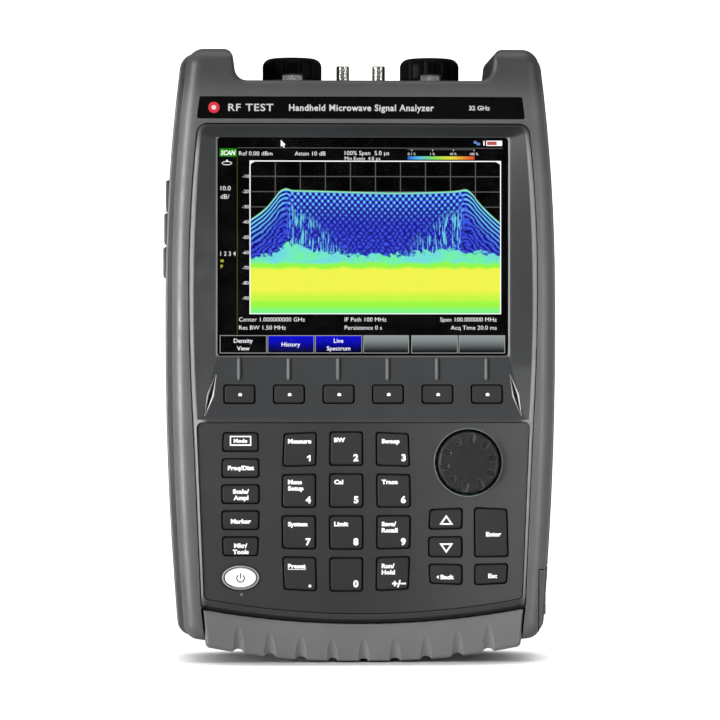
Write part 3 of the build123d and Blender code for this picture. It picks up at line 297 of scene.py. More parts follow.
# The picture is laid out in millimetres right and down from the top left corner of the bezel's opening.
SCREEN_LEFT, SCREEN_TOP = -69.45, 250.2
PLOT_LEFT, PLOT_TOP = 15.6, 11.2
PLOT_W, PLOT_H = 119.8, 72.8
COLUMNS, ROWS = 10, 10
CELL_W, CELL_H = PLOT_W / COLUMNS, PLOT_H / ROWS
LATTICE_W, LATTICE_H = 2.87 / CELL_W, 3.3 / CELL_H


def rgb(red, green, blue):
    """A colour given as 0-255 display values, turned into light."""

    def light(value):
        share = value / 255
        return share / 12.92 if share <= 0.04045 else ((share + 0.055) / 1.055) ** 2.4

    return (light(red), light(green), light(blue), 1.0)


BLACK = rgb(0, 0, 0)
CYAN = rgb(118, 228, 232)
MINT = rgb(120, 250, 170)
GREEN = rgb(150, 255, 75)
YELLOW = rgb(250, 252, 80)
BLUE = rgb(66, 78, 246)
DEEP_BLUE = rgb(40, 36, 205)


def curve(s, value, points):
    """A smooth function through a few (input, output) points, all from 0 to 1."""
    node = s.add("FloatCurve", Value=value)
    line = node.mapping.curves[0]
    line.points[0].location = points[0]
    line.points[1].location = points[-1]
    for point in points[1:-1]:
        line.points.new(*point)
    node.mapping.update()
    return node.outputs[0]


def plot_top(s, across):
    """Height of the hump's edge in rows below the top: flat, with a small peak before each shoulder."""
    left = [(0.0, 0.383), (0.063, 0.305), (0.1, 0.233), (0.125, 0.188), (0.145, 0.178), (0.165, 0.188), (0.2, 0.19)]
    right = [(0.8, 0.195), (0.84, 0.188), (0.86, 0.182), (0.88, 0.2), (0.911, 0.262), (0.945, 0.322), (1.0, 0.404)]
    return s.math("MULTIPLY", curve(s, across, left + right), ROWS)


def noise_floor(s, across):
    """Height of the ragged edge of the noise, in rows below the top."""
    hump = [(0.0, 0.635), (0.06, 0.612), (0.1, 0.6), (0.13, 0.55), (0.155, 0.53), (0.18, 0.545), (0.24, 0.575)]
    flat = [(0.35, 0.6), (0.5, 0.61), (0.6, 0.608), (0.7, 0.59), (0.78, 0.578), (0.83, 0.57), (0.86, 0.605)]
    end = [(0.9, 0.59), (1.0, 0.625)]
    return s.math("MULTIPLY", curve(s, across, hump + flat + end), ROWS)


def density_plot():
    """The plot's picture: a lattice of crossing traces above a band of noise."""
    s = Shader("density_plot")
    x, y, z = s.place()
    across = s.math("DIVIDE", s.math("SUBTRACT", x, SCREEN_LEFT + PLOT_LEFT), PLOT_W)
    column = s.math("MULTIPLY", across, COLUMNS)
    row = s.math("DIVIDE", s.math("SUBTRACT", SCREEN_TOP - PLOT_TOP, z), CELL_H)
    depth = s.math("SUBTRACT", row, plot_top(s, across))
    middle = s.math("ABSOLUTE", s.math("SUBTRACT", across, 0.5))

    flat = s.add("CombineXYZ", X=column, Y=row, Z=0.0).outputs[0]

    def speckle(across_scale, down_scale, detail=2.0):
        where = s.add("VectorMath", {"operation": "MULTIPLY"}, Vector=flat)
        s.put(where.inputs[1], (across_scale, down_scale, 1.0))
        return s.add("TexNoise", Vector=where.outputs[0], Scale=1.0, Detail=detail).outputs["Fac"]

    def wave(phase):
        return s.math("COSINE", s.math("MULTIPLY", phase, 2 * math.pi))

    # lattice of crossing traces in the middle, traces along the edge at the shoulders
    jitter = s.math("MULTIPLY", s.math("SUBTRACT", speckle(2.2, 1.2), 0.5), s.ramp(depth, 0.8, 4.0, 0.0, 2.4))
    along = s.math("ADD", s.math("DIVIDE", column, LATTICE_W), jitter)
    down = s.math("DIVIDE", depth, LATTICE_H)
    first = wave(s.math("ADD", along, down))
    second = wave(s.math("SUBTRACT", along, down))
    dots = s.math("MULTIPLY", s.math("ADD", first, second), 0.5)
    net = s.math("SUBTRACT", s.math("MAXIMUM", first, second), 0.28)
    netted = s.ramp(depth, 0.2, 1.4)
    cross = s.math("ADD", s.math("MULTIPLY", net, netted), s.math("MULTIPLY", dots, s.math("SUBTRACT", 1.0, netted)))
    fan = s.math("DIVIDE", depth, s.ramp(depth, 0.0, 2.5, 0.26, 0.4))
    ridges = wave(s.math("ADD", fan, s.math("MULTIPLY", speckle(1.6, 2.0), s.ramp(depth, 0.3, 3.0, 0.3, 3.0))))
    shoulder = s.ramp(middle, 0.31, 0.39)
    pattern = s.math("ADD", s.math("MULTIPLY", cross, s.math("SUBTRACT", 1.0, shoulder)),
                     s.math("MULTIPLY", ridges, shoulder))

    grain = speckle(26.0, 13.0, 3.0)
    base = s.mix(s.ramp(speckle(9.0, 6.0, 3.0), 0.3, 0.7), DEEP_BLUE, BLUE)
    near_top = s.ramp(depth, 0.05, 2.3, 1.0, 0.0)
    pale = s.math("MULTIPLY", s.ramp(pattern, 0.1, -0.75), s.math("ADD", 0.06, s.math("MULTIPLY", near_top, 0.94)))
    base = s.mix(pale, base, CYAN)
    dark = s.math("MULTIPLY", s.ramp(pattern, 0.26, 0.68), s.ramp(depth, 0.1, 5.0, 0.95, 0.75))
    base = s.mix(dark, base, rgb(6, 12, 60))
    base = s.mix(s.ramp(grain, 0.56, 0.7, 0.0, s.ramp(depth, 0.8, 2.5, 0.0, 0.75)), base, rgb(10, 10, 70))

    # upright bright traces on both sides of the middle
    reach = s.math("MULTIPLY", s.ramp(middle, 0.08, 0.22), s.ramp(middle, 0.36, 0.33))
    start = s.ramp(middle, 0.1, 0.33, 5.4, 2.3, smooth=False)
    streaks = s.ramp(speckle(15.0, 0.9, 1.0), 0.53, 0.6)
    streaks = s.math("MULTIPLY", streaks, s.math("MULTIPLY", reach, s.ramp(row, start, s.math("ADD", start, 1.2))))
    base = s.mix(s.math("MULTIPLY", streaks, 0.85), base, CYAN)

    # the noise: ragged cyan edge, then bands of green, yellow and green
    ragged = s.math("MULTIPLY", s.math("SUBTRACT", speckle(5.0, 3.0, 4.0), 0.5), 1.3)
    into_noise = s.math("ADD", s.math("SUBTRACT", row, noise_floor(s, across)), ragged)
    specks = s.ramp(speckle(15.0, 11.0, 2.0), 0.62, 0.68, 0.0, s.ramp(into_noise, 0.0, 0.75, 0.8, 0.0))
    noise = s.mix(specks, s.mix(s.ramp(speckle(1.3, 1.0), 0.35, 0.65), CYAN, MINT), DEEP_BLUE)
    base = s.mix(s.ramp(into_noise, -0.05, 0.14), base, noise)
    warp = s.math("ADD", row, s.math("MULTIPLY", s.math("SUBTRACT", speckle(1.5, 1.0), 0.5), 0.5))
    base = s.mix(s.ramp(warp, 6.55, 6.8), base, GREEN)
    base = s.mix(s.ramp(warp, 6.9, 7.15), base, YELLOW)
    base = s.mix(s.ramp(row, 8.35, 9.0), base, rgb(205, 255, 70))
    base = s.mix(s.ramp(row, 9.0, 9.4), base, rgb(160, 255, 70))
    base = s.mix(s.ramp(row, 9.45, 9.9), base, rgb(128, 255, 140))

    # the edge of the hump, and the grid above it
    base = s.mix(s.ramp(depth, 0.16, 0.05), base, rgb(150, 240, 200))
    base = s.mix(s.ramp(depth, 0.05, 0.0), base, rgb(120, 190, 120))
    lines = s.math("MAXIMUM", grid_line(s, column, CELL_W), grid_line(s, row, CELL_H))
    back = s.mix(lines, rgb(2, 2, 2), rgb(92, 92, 94))
    picture = s.mix(s.ramp(depth, -0.03, 0.02), back, base)
    glow = s.add("Emission", Color=picture, Strength=1.0)
    return s.finish(glow.outputs[0])


def grid_line(s, count, pitch_mm):
    """1 on the grid's lines and 0 between them."""
    away = s.math("PINGPONG", count, 0.5)
    return s.ramp(away, 0.12 / pitch_mm, 0.3 / pitch_mm, 1.0, 0.0)


def shaded(name, top, bottom, high_z, low_z):
    """A lit strip that fades from one colour at its top to another at its foot."""
    s = Shader(name)
    x, y, z = s.place()
    glow = s.add("Emission", Color=s.mix(s.ramp(z, high_z, low_z), top, bottom), Strength=1.0)
    return s.finish(glow.outputs[0])


def colour_scale(left, width):
    """The blue to red scale bar."""
    s = Shader("colour_scale")
    x, y, z = s.place()
    share = s.math("DIVIDE", s.math("SUBTRACT", x, left), width, clamp=True)
    node = s.add("ValToRGB", Fac=share)
    stops = [(0.0, rgb(40, 90, 220)), (0.15, rgb(90, 190, 240)), (0.38, rgb(130, 230, 90))]
    stops += [(0.65, rgb(240, 230, 60)), (0.85, rgb(240, 140, 50)), (1.0, rgb(225, 60, 40))]
    ramp = node.color_ramp
    while len(ramp.elements) < len(stops):
        ramp.elements.new(0.5)
    for element, (where, colour) in zip(ramp.elements, stops):
        element.position = where
        element.color = colour
    glow = s.add("Emission", Color=node.outputs[0], Strength=1.0)
    return s.finish(glow.outputs[0])


# ---- building pieces ----------------------------------------------------

FACE_FRONT = Matrix.Rotation(math.radians(90), 4, "X")
INK_T = 0.03


class Piece:
    """A mesh put together from simple parts, in millimetres, and handed over in metres."""

    def __init__(self, name, *materials):
        self.name = name
        self.materials = materials
        self.mesh = bmesh.new()

    def take(self, other, material=0, matrix=None):
        """Adds a bmesh made elsewhere."""
        if matrix is not None:
            bmesh.ops.transform(other, matrix=matrix, verts=other.verts)
        for face in other.faces:
            face.material_index = material
        keep = bpy.data.meshes.new("part")
        other.to_mesh(keep)
        other.free()
        self.mesh.from_mesh(keep)
        bpy.data.meshes.remove(keep)

    def slab(self, points, front_y, thickness, material=0, matrix=None):
        """A flat slab facing the front with an outline given as (x, z)."""
        part = bmesh.new()
        face = part.faces.new([part.verts.new((x, front_y, z)) for x, z in points])
        if face.normal.y > 0 or face.calc_center_median() is None:
            face.normal_flip()
        face.normal_update()
        grown = bmesh.ops.extrude_face_region(part, geom=[face])
        moved = [v for v in grown["geom"] if isinstance(v, bmesh.types.BMVert)]
        bmesh.ops.translate(part, vec=(0, thickness, 0), verts=moved)
        bmesh.ops.recalc_face_normals(part, faces=part.faces)
        self.take(part, material, matrix)

    def bar(self, left, low, right, high, front_y, thickness, material=0):
        self.slab([(left, low), (right, low), (right, high), (left, high)], front_y, thickness, material)

    def hand_over(self, body, slot, smooth=None):
        """Makes the object, gives it its materials and fixes it to its body."""
        bmesh.ops.scale(self.mesh, vec=(MM, MM, MM), verts=self.mesh.verts)
        data = bpy.data.meshes.new(self.name)
        self.mesh.to_mesh(data)
        self.mesh.free()
        for material in self.materials:
            data.materials.append(material)
        made = bpy.data.objects.new(self.name, data)
        bpy.context.scene.collection.objects.link(made)
        if smooth is not None:
            data.shade_smooth()
            data.set_sharp_from_angle(angle=math.radians(smooth))
        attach(made, body)
        return made


def lettering(text, cap, bold=0.0, spread=1.0, narrow=1.0, slant=0.0, thick=INK_T):
    """Text as a bmesh lying in X and Y, with capitals cap millimetres high, and its width."""
    data = bpy.data.curves.new("letters", "FONT")
    data.body = text
    data.size = cap / CAP_SHARE
    data.offset = bold * cap
    data.space_character = spread
    data.shear = slant
    data.extrude = thick / 2
    data.resolution_u = 3
    holder = bpy.data.objects.new("letters", data)
    flat = bpy.data.meshes.new_from_object(holder)
    part = bmesh.new()
    part.from_mesh(flat)
    bmesh.ops.remove_doubles(part, verts=part.verts, dist=0.0005)
    bpy.data.objects.remove(holder)
    bpy.data.curves.remove(data)
    bpy.data.meshes.remove(flat)
    if not part.verts:
        return part, 0.0
    bmesh.ops.scale(part, vec=(narrow, 1, 1), verts=part.verts)
    left = min(v.co.x for v in part.verts)
    right = max(v.co.x for v in part.verts)
    bmesh.ops.translate(part, vec=(-left, 0, 0), verts=part.verts)
    return part, right - left


def capital_share():
    """How high a capital is for a text size of 1."""
    data = bpy.data.curves.new("letters", "FONT")
    data.body = "H"
    holder = bpy.data.objects.new("letters", data)
    flat = bpy.data.meshes.new_from_object(holder)
    high = max(v.co.y for v in flat.vertices)
    bpy.data.objects.remove(holder)
    bpy.data.curves.remove(data)
    bpy.data.meshes.remove(flat)
    return high


CAP_SHARE = capital_share()


def write(piece, text, x, z, front_y, cap, align="left", material=0, fit=None, **style):
    """Puts a line of text on a surface that faces the front: z is its foot, x its left, middle or right."""
    part, width = lettering(text, cap, **style)
    if fit:
        bmesh.ops.scale(part, vec=(fit / width, 1, 1), verts=part.verts)
        width = fit
    shift = {"left": 0.0, "middle": -width / 2, "right": -width}[align]
    where = Matrix.Translation((x + shift, front_y, z))
    piece.take(part, material, where @ FACE_FRONT)
    return width


def ring_points(x, z, radius, count=24, start=0.0):
    turns = [start + 2 * math.pi * i / count for i in range(count)]
    return [(x + radius * math.cos(t), z + radius * math.sin(t)) for t in turns]


def frame_outline(piece, left, low, right, high, line, front_y, thickness, material=0):
    """A hollow rectangle."""
    piece.bar(left, low, right, low + line, front_y, thickness, material)
    piece.bar(left, high - line, right, high, front_y, thickness, material)
    piece.bar(left, low + line, left + line, high - line, front_y, thickness, material)
    piece.bar(right - line, low + line, right, high - line, front_y, thickness, material)


def hollow(piece, outer, inner, front_y, thickness, material=0):
    """The band between two outlines with the same number of points."""
    count = len(outer)
    for i in range(count):
        j = (i + 1) % count
        piece.slab([outer[i], outer[j], inner[j], inner[i]], front_y, thickness, material)


# ---- the display --------------------------------------------------------


def screen_x(right):
    return SCREEN_LEFT + right


def screen_z(down):
    return SCREEN_TOP - down


SCREEN_W, SCREEN_H = 138.9, 104.2
SCREEN_EDGE = 0.4
SCREEN_TEXT_CAP = 1.95


def build_screen():
    """The lit picture just in front of the liquid crystal panel."""
    lcd_front = span("lcd_module")[0].y
    back = lcd_front - 0.02
    picture_y, mark_y = lcd_front - 0.20, lcd_front - 0.30
    field = Piece("screen_field", lit("screen_black", rgb(5, 5, 6)))
    left, right = screen_x(0) + SCREEN_EDGE, screen_x(SCREEN_W) - SCREEN_EDGE
    field.bar(left, screen_z(SCREEN_H) + SCREEN_EDGE, right, screen_z(0) - SCREEN_EDGE, back - 0.1, 0.1)
    field.hand_over(body_of("lcd_module"), "screen")

    plot = Piece("screen_plot", density_plot())
    right, foot = screen_x(PLOT_LEFT + PLOT_W), screen_z(PLOT_TOP + PLOT_H)
    plot.bar(screen_x(PLOT_LEFT), foot, right, screen_z(PLOT_TOP), picture_y, 0.05)
    plot.hand_over(body_of("lcd_module"), "screen")
    build_screen_marks(picture_y, mark_y)
    build_softkey_row(picture_y, mark_y)


def build_screen_marks(picture_y, mark_y):
    """Readouts, scale, frame and icons."""
    white = lit("screen_white", rgb(240, 240, 240), 1.5)
    soft = lit("screen_grey", rgb(120, 120, 120))
    green = lit("screen_green", rgb(40, 150, 20))
    olive = lit("screen_olive", rgb(84, 92, 10))
    gold = lit("screen_gold", rgb(200, 200, 60))
    blue = lit("screen_blue", rgb(110, 150, 220))
    red = lit("screen_red", rgb(205, 90, 90))
    scale = colour_scale(screen_x(90.9), 32.1)
    marks = Piece("screen_marks", white, soft, green, olive, gold, blue, red, scale)
    thin = 0.04

    def strip(left, top, right, foot, material=0, y=mark_y):
        marks.bar(screen_x(left), screen_z(foot), screen_x(right), screen_z(top), y, thin, material)

    def say(text, left, foot, cap=SCREEN_TEXT_CAP, align="left", material=0, **style):
        style.setdefault("bold", -0.012)
        style.setdefault("narrow", 1.05)
        write(marks, text, screen_x(left), screen_z(foot), mark_y, cap, align, material, thick=thin, **style)

    # plot frame with its filled corners
    left, top, right, foot = PLOT_LEFT, PLOT_TOP, PLOT_LEFT + PLOT_W, PLOT_TOP + PLOT_H
    strip(left - 0.3, top - 0.3, left + 0.15, foot)
    strip(left - 0.3, top - 0.3, right + 0.3, top + 0.15)
    strip(right - 0.15, top - 0.3, right + 0.3, foot, 0)
    strip(left - 0.35, foot - 0.1, right + 0.3, foot + 0.3, 0)
    for edge, inward in ((left, 1), (right, -1)):
        wedge = [(screen_x(edge), screen_z(top + 1.5)), (screen_x(edge), screen_z(top))]
        wedge.append((screen_x(edge + inward * 2.4), screen_z(top)))
        marks.slab(wedge if inward < 0 else wedge[::-1], mark_y, thin, 0)

    # header and left column
    strip(9.5, 4.75, 136.5, 4.95, 1)
    strip(9.3, 9.2, 9.6, 94.2, 3)
    strip(1.0, 5.2, 9.2, 9.1, 2, y=picture_y)
    say("SCAN", 1.6, 8.3, 2.1, fit=7.0, slant=0.2, bold=0.03)
    say("Ref 0.00 dBm", 10.3, 8.5)
    say("Atten 10 dB", 36.9, 8.5)
    say("100% Span  5.0 µs", 60.8, 8.2)
    say("Min Event  4.0 µs", 60.8, 10.6, 1.6)
    ellipse = [(screen_x(4.5) + 2.4 * math.cos(t), screen_z(12.2) + 0.95 * math.sin(t)) for t in turns(28)]
    inside = [(screen_x(4.5) + 2.1 * math.cos(t), screen_z(12.2) + 0.65 * math.sin(t)) for t in turns(28)]
    hollow(marks, ellipse, inside, mark_y, thin, 0)
    strip(4.2, 10.6, 4.9, 11.5)
    say("10.0", 1.5, 25.2, 2.1)
    say("dB/", 1.5, 29.2, 2.1)
    say("1 2 3 4", 1.4, 56.4, 2.0, fit=7.3)
    say("M", 1.5, 59.5, 1.3, material=4, bold=0.05)
    say("P", 1.5, 62.3, 1.5, material=4, bold=0.05)
    for row in range(1, ROWS):
        say(f"-{row}0", left - 0.7, top + row * CELL_H + 0.75, 1.6, "right")

    # pointer, icons and colour scale
    pointer = [(30.2, 1.0), (30.2, 4.3), (31.0, 3.7), (31.6, 4.9), (32.1, 4.6), (31.6, 3.5), (32.6, 3.4)]
    marks.slab([(screen_x(a), screen_z(b)) for a, b in pointer], mark_y, thin, 0)
    strip(122.6, 1.4, 124.0, 2.6, 5)
    strip(124.0, 2.2, 125.6, 3.4, 5)
    strip(127.2, 1.3, 127.8, 3.5, 0)
    strip(128.6, 1.2, 136.2, 3.7, 0)
    strip(129.0, 1.6, 133.6, 3.3, 6, y=mark_y - 0.02)
    strip(90.9, 8.75, 123.0, 10.3, 7)
    strip(90.9, 5.45, 123.0, 5.65, 1)
    for step, label in enumerate(("0.1 %", "1 %", "10 %", "100 %")):
        place = 92.9 + step * 9.95
        strip(place - 0.12, 5.5, place + 0.12, 6.2, 0)
        say(label, place, 8.2, 1.15, "middle")

    # footer
    say("Center 1.000000000 GHz", 10.3, 87.8)
    say("Res BW 1.50 MHz", 10.3, 91.7)
    say("IF Path 100 MHz", 60.8, 87.8)
    say("Persistence 0 s", 60.8, 91.7)
    say("Span 100.000000 MHz", 133.6, 87.8, align="right")
    say("Acq Time 20.0 ms", 133.6, 91.7, align="right")
    marks.hand_over(body_of("lcd_module"), "screen")


def turns(count):
    return [2 * math.pi * i / count for i in range(count)]


CELL_EDGES = [(1.1, 23.5), (23.9, 46.2), (46.6, 69.1), (69.7, 91.5), (92.7, 114.9), (115.4, 137.6)]
CELL_TOP, CELL_FOOT = 94.4, 103.0
CELL_TEXT = [("Density", "View"), ("History",), ("Live", "Spectrum"), (), (), ()]


def build_softkey_row(picture_y, mark_y):
    """The six labels along the foot of the picture."""
    high, low = screen_z(CELL_TOP), screen_z(CELL_FOOT)
    black = lit("cell_black", rgb(4, 4, 6))
    blue = shaded("cell_blue", rgb(14, 14, 214), rgb(2, 2, 20), high, low)
    grey_cell = shaded("cell_grey", rgb(150, 158, 158), rgb(4, 4, 8), high, low)
    border = lit("cell_border", rgb(176, 176, 176))
    white = lit("cell_white", rgb(235, 235, 240), 1.5)
    row = Piece("screen_softkey_labels", black, blue, grey_cell, border, white)
    thin = 0.04
    for number, (left, right) in enumerate(CELL_EDGES):
        fill = (0, 1, 1, 2, 2, 2)[number]
        row.bar(screen_x(left), low, screen_x(right), high, picture_y, thin, fill)
        frame_outline(row, screen_x(left), low, screen_x(right), high, 0.28, mark_y + 0.03, thin, 3)
        middle = screen_x((left + right) / 2)
        lines = CELL_TEXT[number]
        for line, text in enumerate(lines):
            foot = (high + low) / 2 - 1.0 + (1.75 if line == 0 else -1.9) * (len(lines) == 2)
            write(row, text, middle, foot, mark_y, 1.95, "middle", 4, bold=0.01, narrow=1.04, thick=thin)
    row.hand_over(body_of("lcd_module"), "screen")


# ---- legends on the keys ------------------------------------------------

FLANGE = 1.3
SMALL_CAP, LINE_STEP, DIGIT_CAP = 1.9, 3.0, 3.0
TEXT_STYLE = {"bold": 0.085, "narrow": 1.12, "spread": 1.04}
CENTRED = {
    "key_freq": ("Freq/Dist",),
    "key_scale": ("Scale/", "Ampl"),
    "key_marker": ("Marker",),
    "key_tools": ("Mkr/", "Tools"),
    "key_enter": ("Enter",),
    "key_esc": ("Esc",),
}
NUDGED = {"key_tools": (0.1, 0.6), "key_enter": (0.95, 0.95), "key_esc": (0.5, 0.6)}
NUMBERED = {
    "key_1": (("Measure",), "1"),
    "key_2": (("BW",), "2"),
    "key_3": (("Sweep",), "3"),
    "key_4": (("Meas", "Setup"), "4"),
    "key_5": (("Cal",), "5"),
    "key_6": (("Trace",), "6"),
    "key_7": (("System",), "7"),
    "key_8": (("Limit",), "8"),
    "key_9": (("Save/", "Recall"), "9"),
    "key_point": (("Preset",), "."),
    "key_0": ((), "0"),
    "key_sign": (("Run/", "Hold"), "+/−"),
}


def key_face(node):
    """Left, right, low, high and front of a key's face."""
    low, high = span(node)
    return low.x + FLANGE, high.x - FLANGE, low.z + FLANGE, high.z - FLANGE, low.y - INK_T + 0.01


def legend(node, white):
    return Piece("legend_" + node, white)


def build_centred_legends(white):
    for node, lines in CENTRED.items():
        left, right, low, high, y = key_face(node)
        piece = legend(node, white)
        across, down = NUDGED.get(node, (0.2, 0.25))
        top = (low + high) / 2 + (len(lines) - 1) * LINE_STEP / 2 - SMALL_CAP / 2 - down
        for number, text in enumerate(lines):
            foot = top - number * LINE_STEP
            write(piece, text, (left + right) / 2 + across, foot, y, SMALL_CAP, "middle", **TEXT_STYLE)
        piece.hand_over(body_of(node), "power_white")


def build_number_legends(white):
    for node, (words, digit) in NUMBERED.items():
        left, right, low, high, y = key_face(node)
        piece = legend(node, white)
        first_column = node in ("key_1", "key_4", "key_7", "key_point")
        start = left + (2.3 if first_column else 1.7)
        drop = 5.0 if node in ("key_1", "key_3") else 4.4
        for number, text in enumerate(words):
            foot = high - drop - number * LINE_STEP
            width = write(piece, text, start, foot, y, SMALL_CAP, "left", **TEXT_STYLE)
            if node == "key_point":
                piece.bar(start, foot - 0.75, start + width, foot - 0.45, y, INK_T)
        if digit == ".":
            piece.slab(ring_points(right - 2.2, low + 2.1, 0.72), y, INK_T)
        elif digit == "1":
            build_one(piece, right - 1.9, low + 1.4, y)
        else:
            write(piece, digit, right - 1.7, low + 1.6, y, DIGIT_CAP, "right", bold=0.075, narrow=1.05)
        piece.hand_over(body_of(node), "power_white")


def build_one(piece, right, foot, y):
    """The digit 1 with a flag."""
    top, thick = foot + DIGIT_CAP, 0.8
    points = [(right - thick, foot), (right, foot), (right, top), (right - 0.65, top), (right - 1.75, top - 0.85)]
    points += [(right - 1.75, top - 1.45), (right - thick, top - 0.95)]
    piece.slab(points, y, INK_T)


def triangle(x, z, half, high, up):
    """A triangle's corners about its middle."""
    foot, tip = (-high / 2, high / 2) if up else (high / 2, -high / 2)
    return [(x - half, z + foot), (x + half, z + foot), (x, z + tip)]


def build_symbol_legends(white, dark):
    left, right, low, high, y = key_face("key_mode")
    x, z = (left + right) / 2, (low + high) / 2
    piece = legend("key_mode", white)
    frame_outline(piece, x - 5.1, z - 2.35, x + 5.1, z + 2.35, 0.62, y, INK_T)
    write(piece, "Mode", x, z - 0.85, y, 1.65, "middle", **TEXT_STYLE)
    piece.hand_over(body_of("key_mode"), "power_white")

    for node, up in (("key_up", True), ("key_down", False)):
        left, right, low, high, y = key_face(node)
        x, z = (left + right) / 2 + 0.45, (low + high) / 2 - 0.7
        piece = legend(node, white)
        lean = -0.35 if up else 0.35
        inner = triangle(x, z + lean, 3.3 - 1.45, 4.7 - 2.1, up)
        hollow(piece, triangle(x, z, 3.3, 4.7, up), inner, y, INK_T)
        piece.hand_over(body_of(node), "power_white")

    left, right, low, high, y = key_face("key_back")
    x, z = (left + right) / 2, (low + high) / 2 - 1.1
    piece = legend("key_back", white)
    piece.slab([(x - 4.4, z), (x - 3.1, z - 0.95), (x - 3.1, z + 0.95)], y, INK_T)
    write(piece, "Back", x - 2.3, z - SMALL_CAP / 2, y, SMALL_CAP, "left", **TEXT_STYLE)
    piece.hand_over(body_of("key_back"), "power_white")

    low, high = span("power_key")
    x, z = (low.x + high.x) / 2, (low.z + high.z) / 2
    y = low.y - INK_T + 0.01
    piece = Piece("legend_power_key", dark)
    gap, inner, outer = math.radians(38), 1.5, 2.1
    arc = [math.pi / 2 + gap + (2 * math.pi - 2 * gap) * i / 30 for i in range(31)]
    for a, b in zip(arc, arc[1:]):
        corners = [(x + r * math.cos(t), z - 0.2 + r * math.sin(t)) for r, t in ((outer, a), (outer, b), (inner, b))]
        corners.append((x + inner * math.cos(a), z - 0.2 + inner * math.sin(a)))
        piece.slab(corners, y, INK_T)
    piece.bar(x - 0.3, z - 0.3, x + 0.3, z + 2.2, y, INK_T)
    piece.hand_over(body_of("power_key"), "name_black")


def build_softkey_dots(white):
    """One raised white dot on each sloping softkey."""
    for number in range(1, 7):
        node = f"softkey_{number}"
        low, high = span(node)
        x, z = (low.x + high.x) / 2 + 0.3, (low.z + high.z) / 2 - 0.3
        piece = legend(node, white)
        piece.slab(ring_points(x, z, 0.9, 20), softkey_front(node, x, z) - 0.06, 0.3)
        piece.hand_over(body_of(node), "power_white")


def softkey_front(node, x, z):
    """Depth of a softkey's face at a point, found on its mesh."""
    hit, place, normal, index = NODES[node].ray_cast((x * MM, -0.1, z * MM), (0, 1, 0))
    return place.y / MM


# ---- name plate, lamp and connectors ------------------------------------


def build_name_plate(white, red):
    """A plain red mark and generic wording on the black strip."""
    low, high = span("name_plate")
    y = low.y - INK_T + 0.01
    z = (low.z + high.z) / 2
    piece = Piece("name_plate_print", white, red)
    left = low.x + 4.7
    piece.slab(ring_points(left + 3.2, z, 2.7, 40), y, INK_T, 1)
    piece.slab(ring_points(left + 3.2, z, 1.1, 24), y - 0.01, INK_T, 0)
    write(piece, "RF TEST", left + 10.0, z - 1.6, y, 3.3, fit=21.5, bold=0.02, spread=1.1)
    title = "Handheld Microwave Signal Analyzer"
    write(piece, title, left + 38.9, z - 1.45, y, 2.9, fit=69.0, bold=0.035, spread=1.1)
    write(piece, "32 GHz", high.x - 16.6, z - 1.0, y, 2.0, "right", fit=10.0, bold=0.04)
    piece.hand_over(body_of("name_plate"), "power_white")


def dome(name, material, x, z, front_y, radius, bulge, body, slot):
    """A small lens: a flattened ball with only its front half."""
    piece = Piece(name, material)
    ball = bmesh.new()
    bmesh.ops.create_uvsphere(ball, u_segments=24, v_segments=12, radius=radius)
    back = [v for v in ball.verts if v.co.y > 0.01]
    bmesh.ops.delete(ball, geom=back, context="VERTS")
    rim = [e for e in ball.edges if e.is_boundary]
    bmesh.ops.edgeloop_fill(ball, edges=rim)
    bmesh.ops.scale(ball, vec=(1, bulge / radius, 1), verts=ball.verts)
    bmesh.ops.recalc_face_normals(ball, faces=ball.faces)
    piece.take(ball, 0, Matrix.Translation((x, front_y + bulge, z)))
    return piece.hand_over(body, slot, smooth=50)


def build_threads(steel):
    """Fine thread rings on the two small coaxial connectors."""
    low, high = span("sma_connectors")
    middle_y = (low.y + high.y) / 2
    first, last, pitch = high.z - 9.0, high.z - 0.9, 0.7
    radius = 3.1
    for side, name in ((-1, "left"), (1, "right")):
        piece = Piece("thread_" + name, steel)
        rings = int((last - first) / pitch)
        for step in range(rings):
            piece.take(thread_ring(radius, pitch), 0, Matrix.Translation((side * 8.7, middle_y, first + step * pitch)))
        piece.hand_over(body_of("sma_connectors"), "connector_steel", smooth=40)


def thread_ring(radius, pitch):
    """One ridge with a triangular section round the Z axis."""
    count = 40
    ring = bmesh.new()
    section = [(radius - 0.15, -pitch * 0.45), (radius + 0.16, 0.0), (radius - 0.15, pitch * 0.45)]
    loops = []
    for turn in turns(count):
        loops.append([ring.verts.new((r * math.cos(turn), r * math.sin(turn), z)) for r, z in section])
    for i in range(count):
        here, there = loops[i], loops[(i + 1) % count]
        for j in range(3):
            k = (j + 1) % 3
            ring.faces.new((here[j], there[j], there[k], here[k]))
    bmesh.ops.recalc_face_normals(ring, faces=ring.faces)
    return ring


# ---- materials for the CAD nodes ----------------------------------------

HOUSING = grey(0.108, 0.01)
PANEL = grey(0.040, 0.01)
KEY = grey(0.028, 0.0)


def housing_tone(s, base):
    """Near-black inner faces between the horns, with no reflection, and painted shade darkening the horns' upper
    parts.
    """
    x, y, z = s.place()
    inner_faces = s.math("MULTIPLY", s.ramp(s.math("ABSOLUTE", x), 65.0, 63.5), s.ramp(z, 275.5, 277.0))
    inner_faces = s.math("MULTIPLY", inner_faces, s.ramp(y, -34.6, -33.2))
    # painted shade: the horns darker towards their tops
    shaded_tips = s.math("MULTIPLY", s.ramp(z, 262.0, 282.0), s.ramp(z, 291.5, 287.0, 0.3, 0.55))
    return s.mix(shaded_tips, base, shade(HOUSING, 0.12)), s.math("MULTIPLY", inner_faces, 0.93)


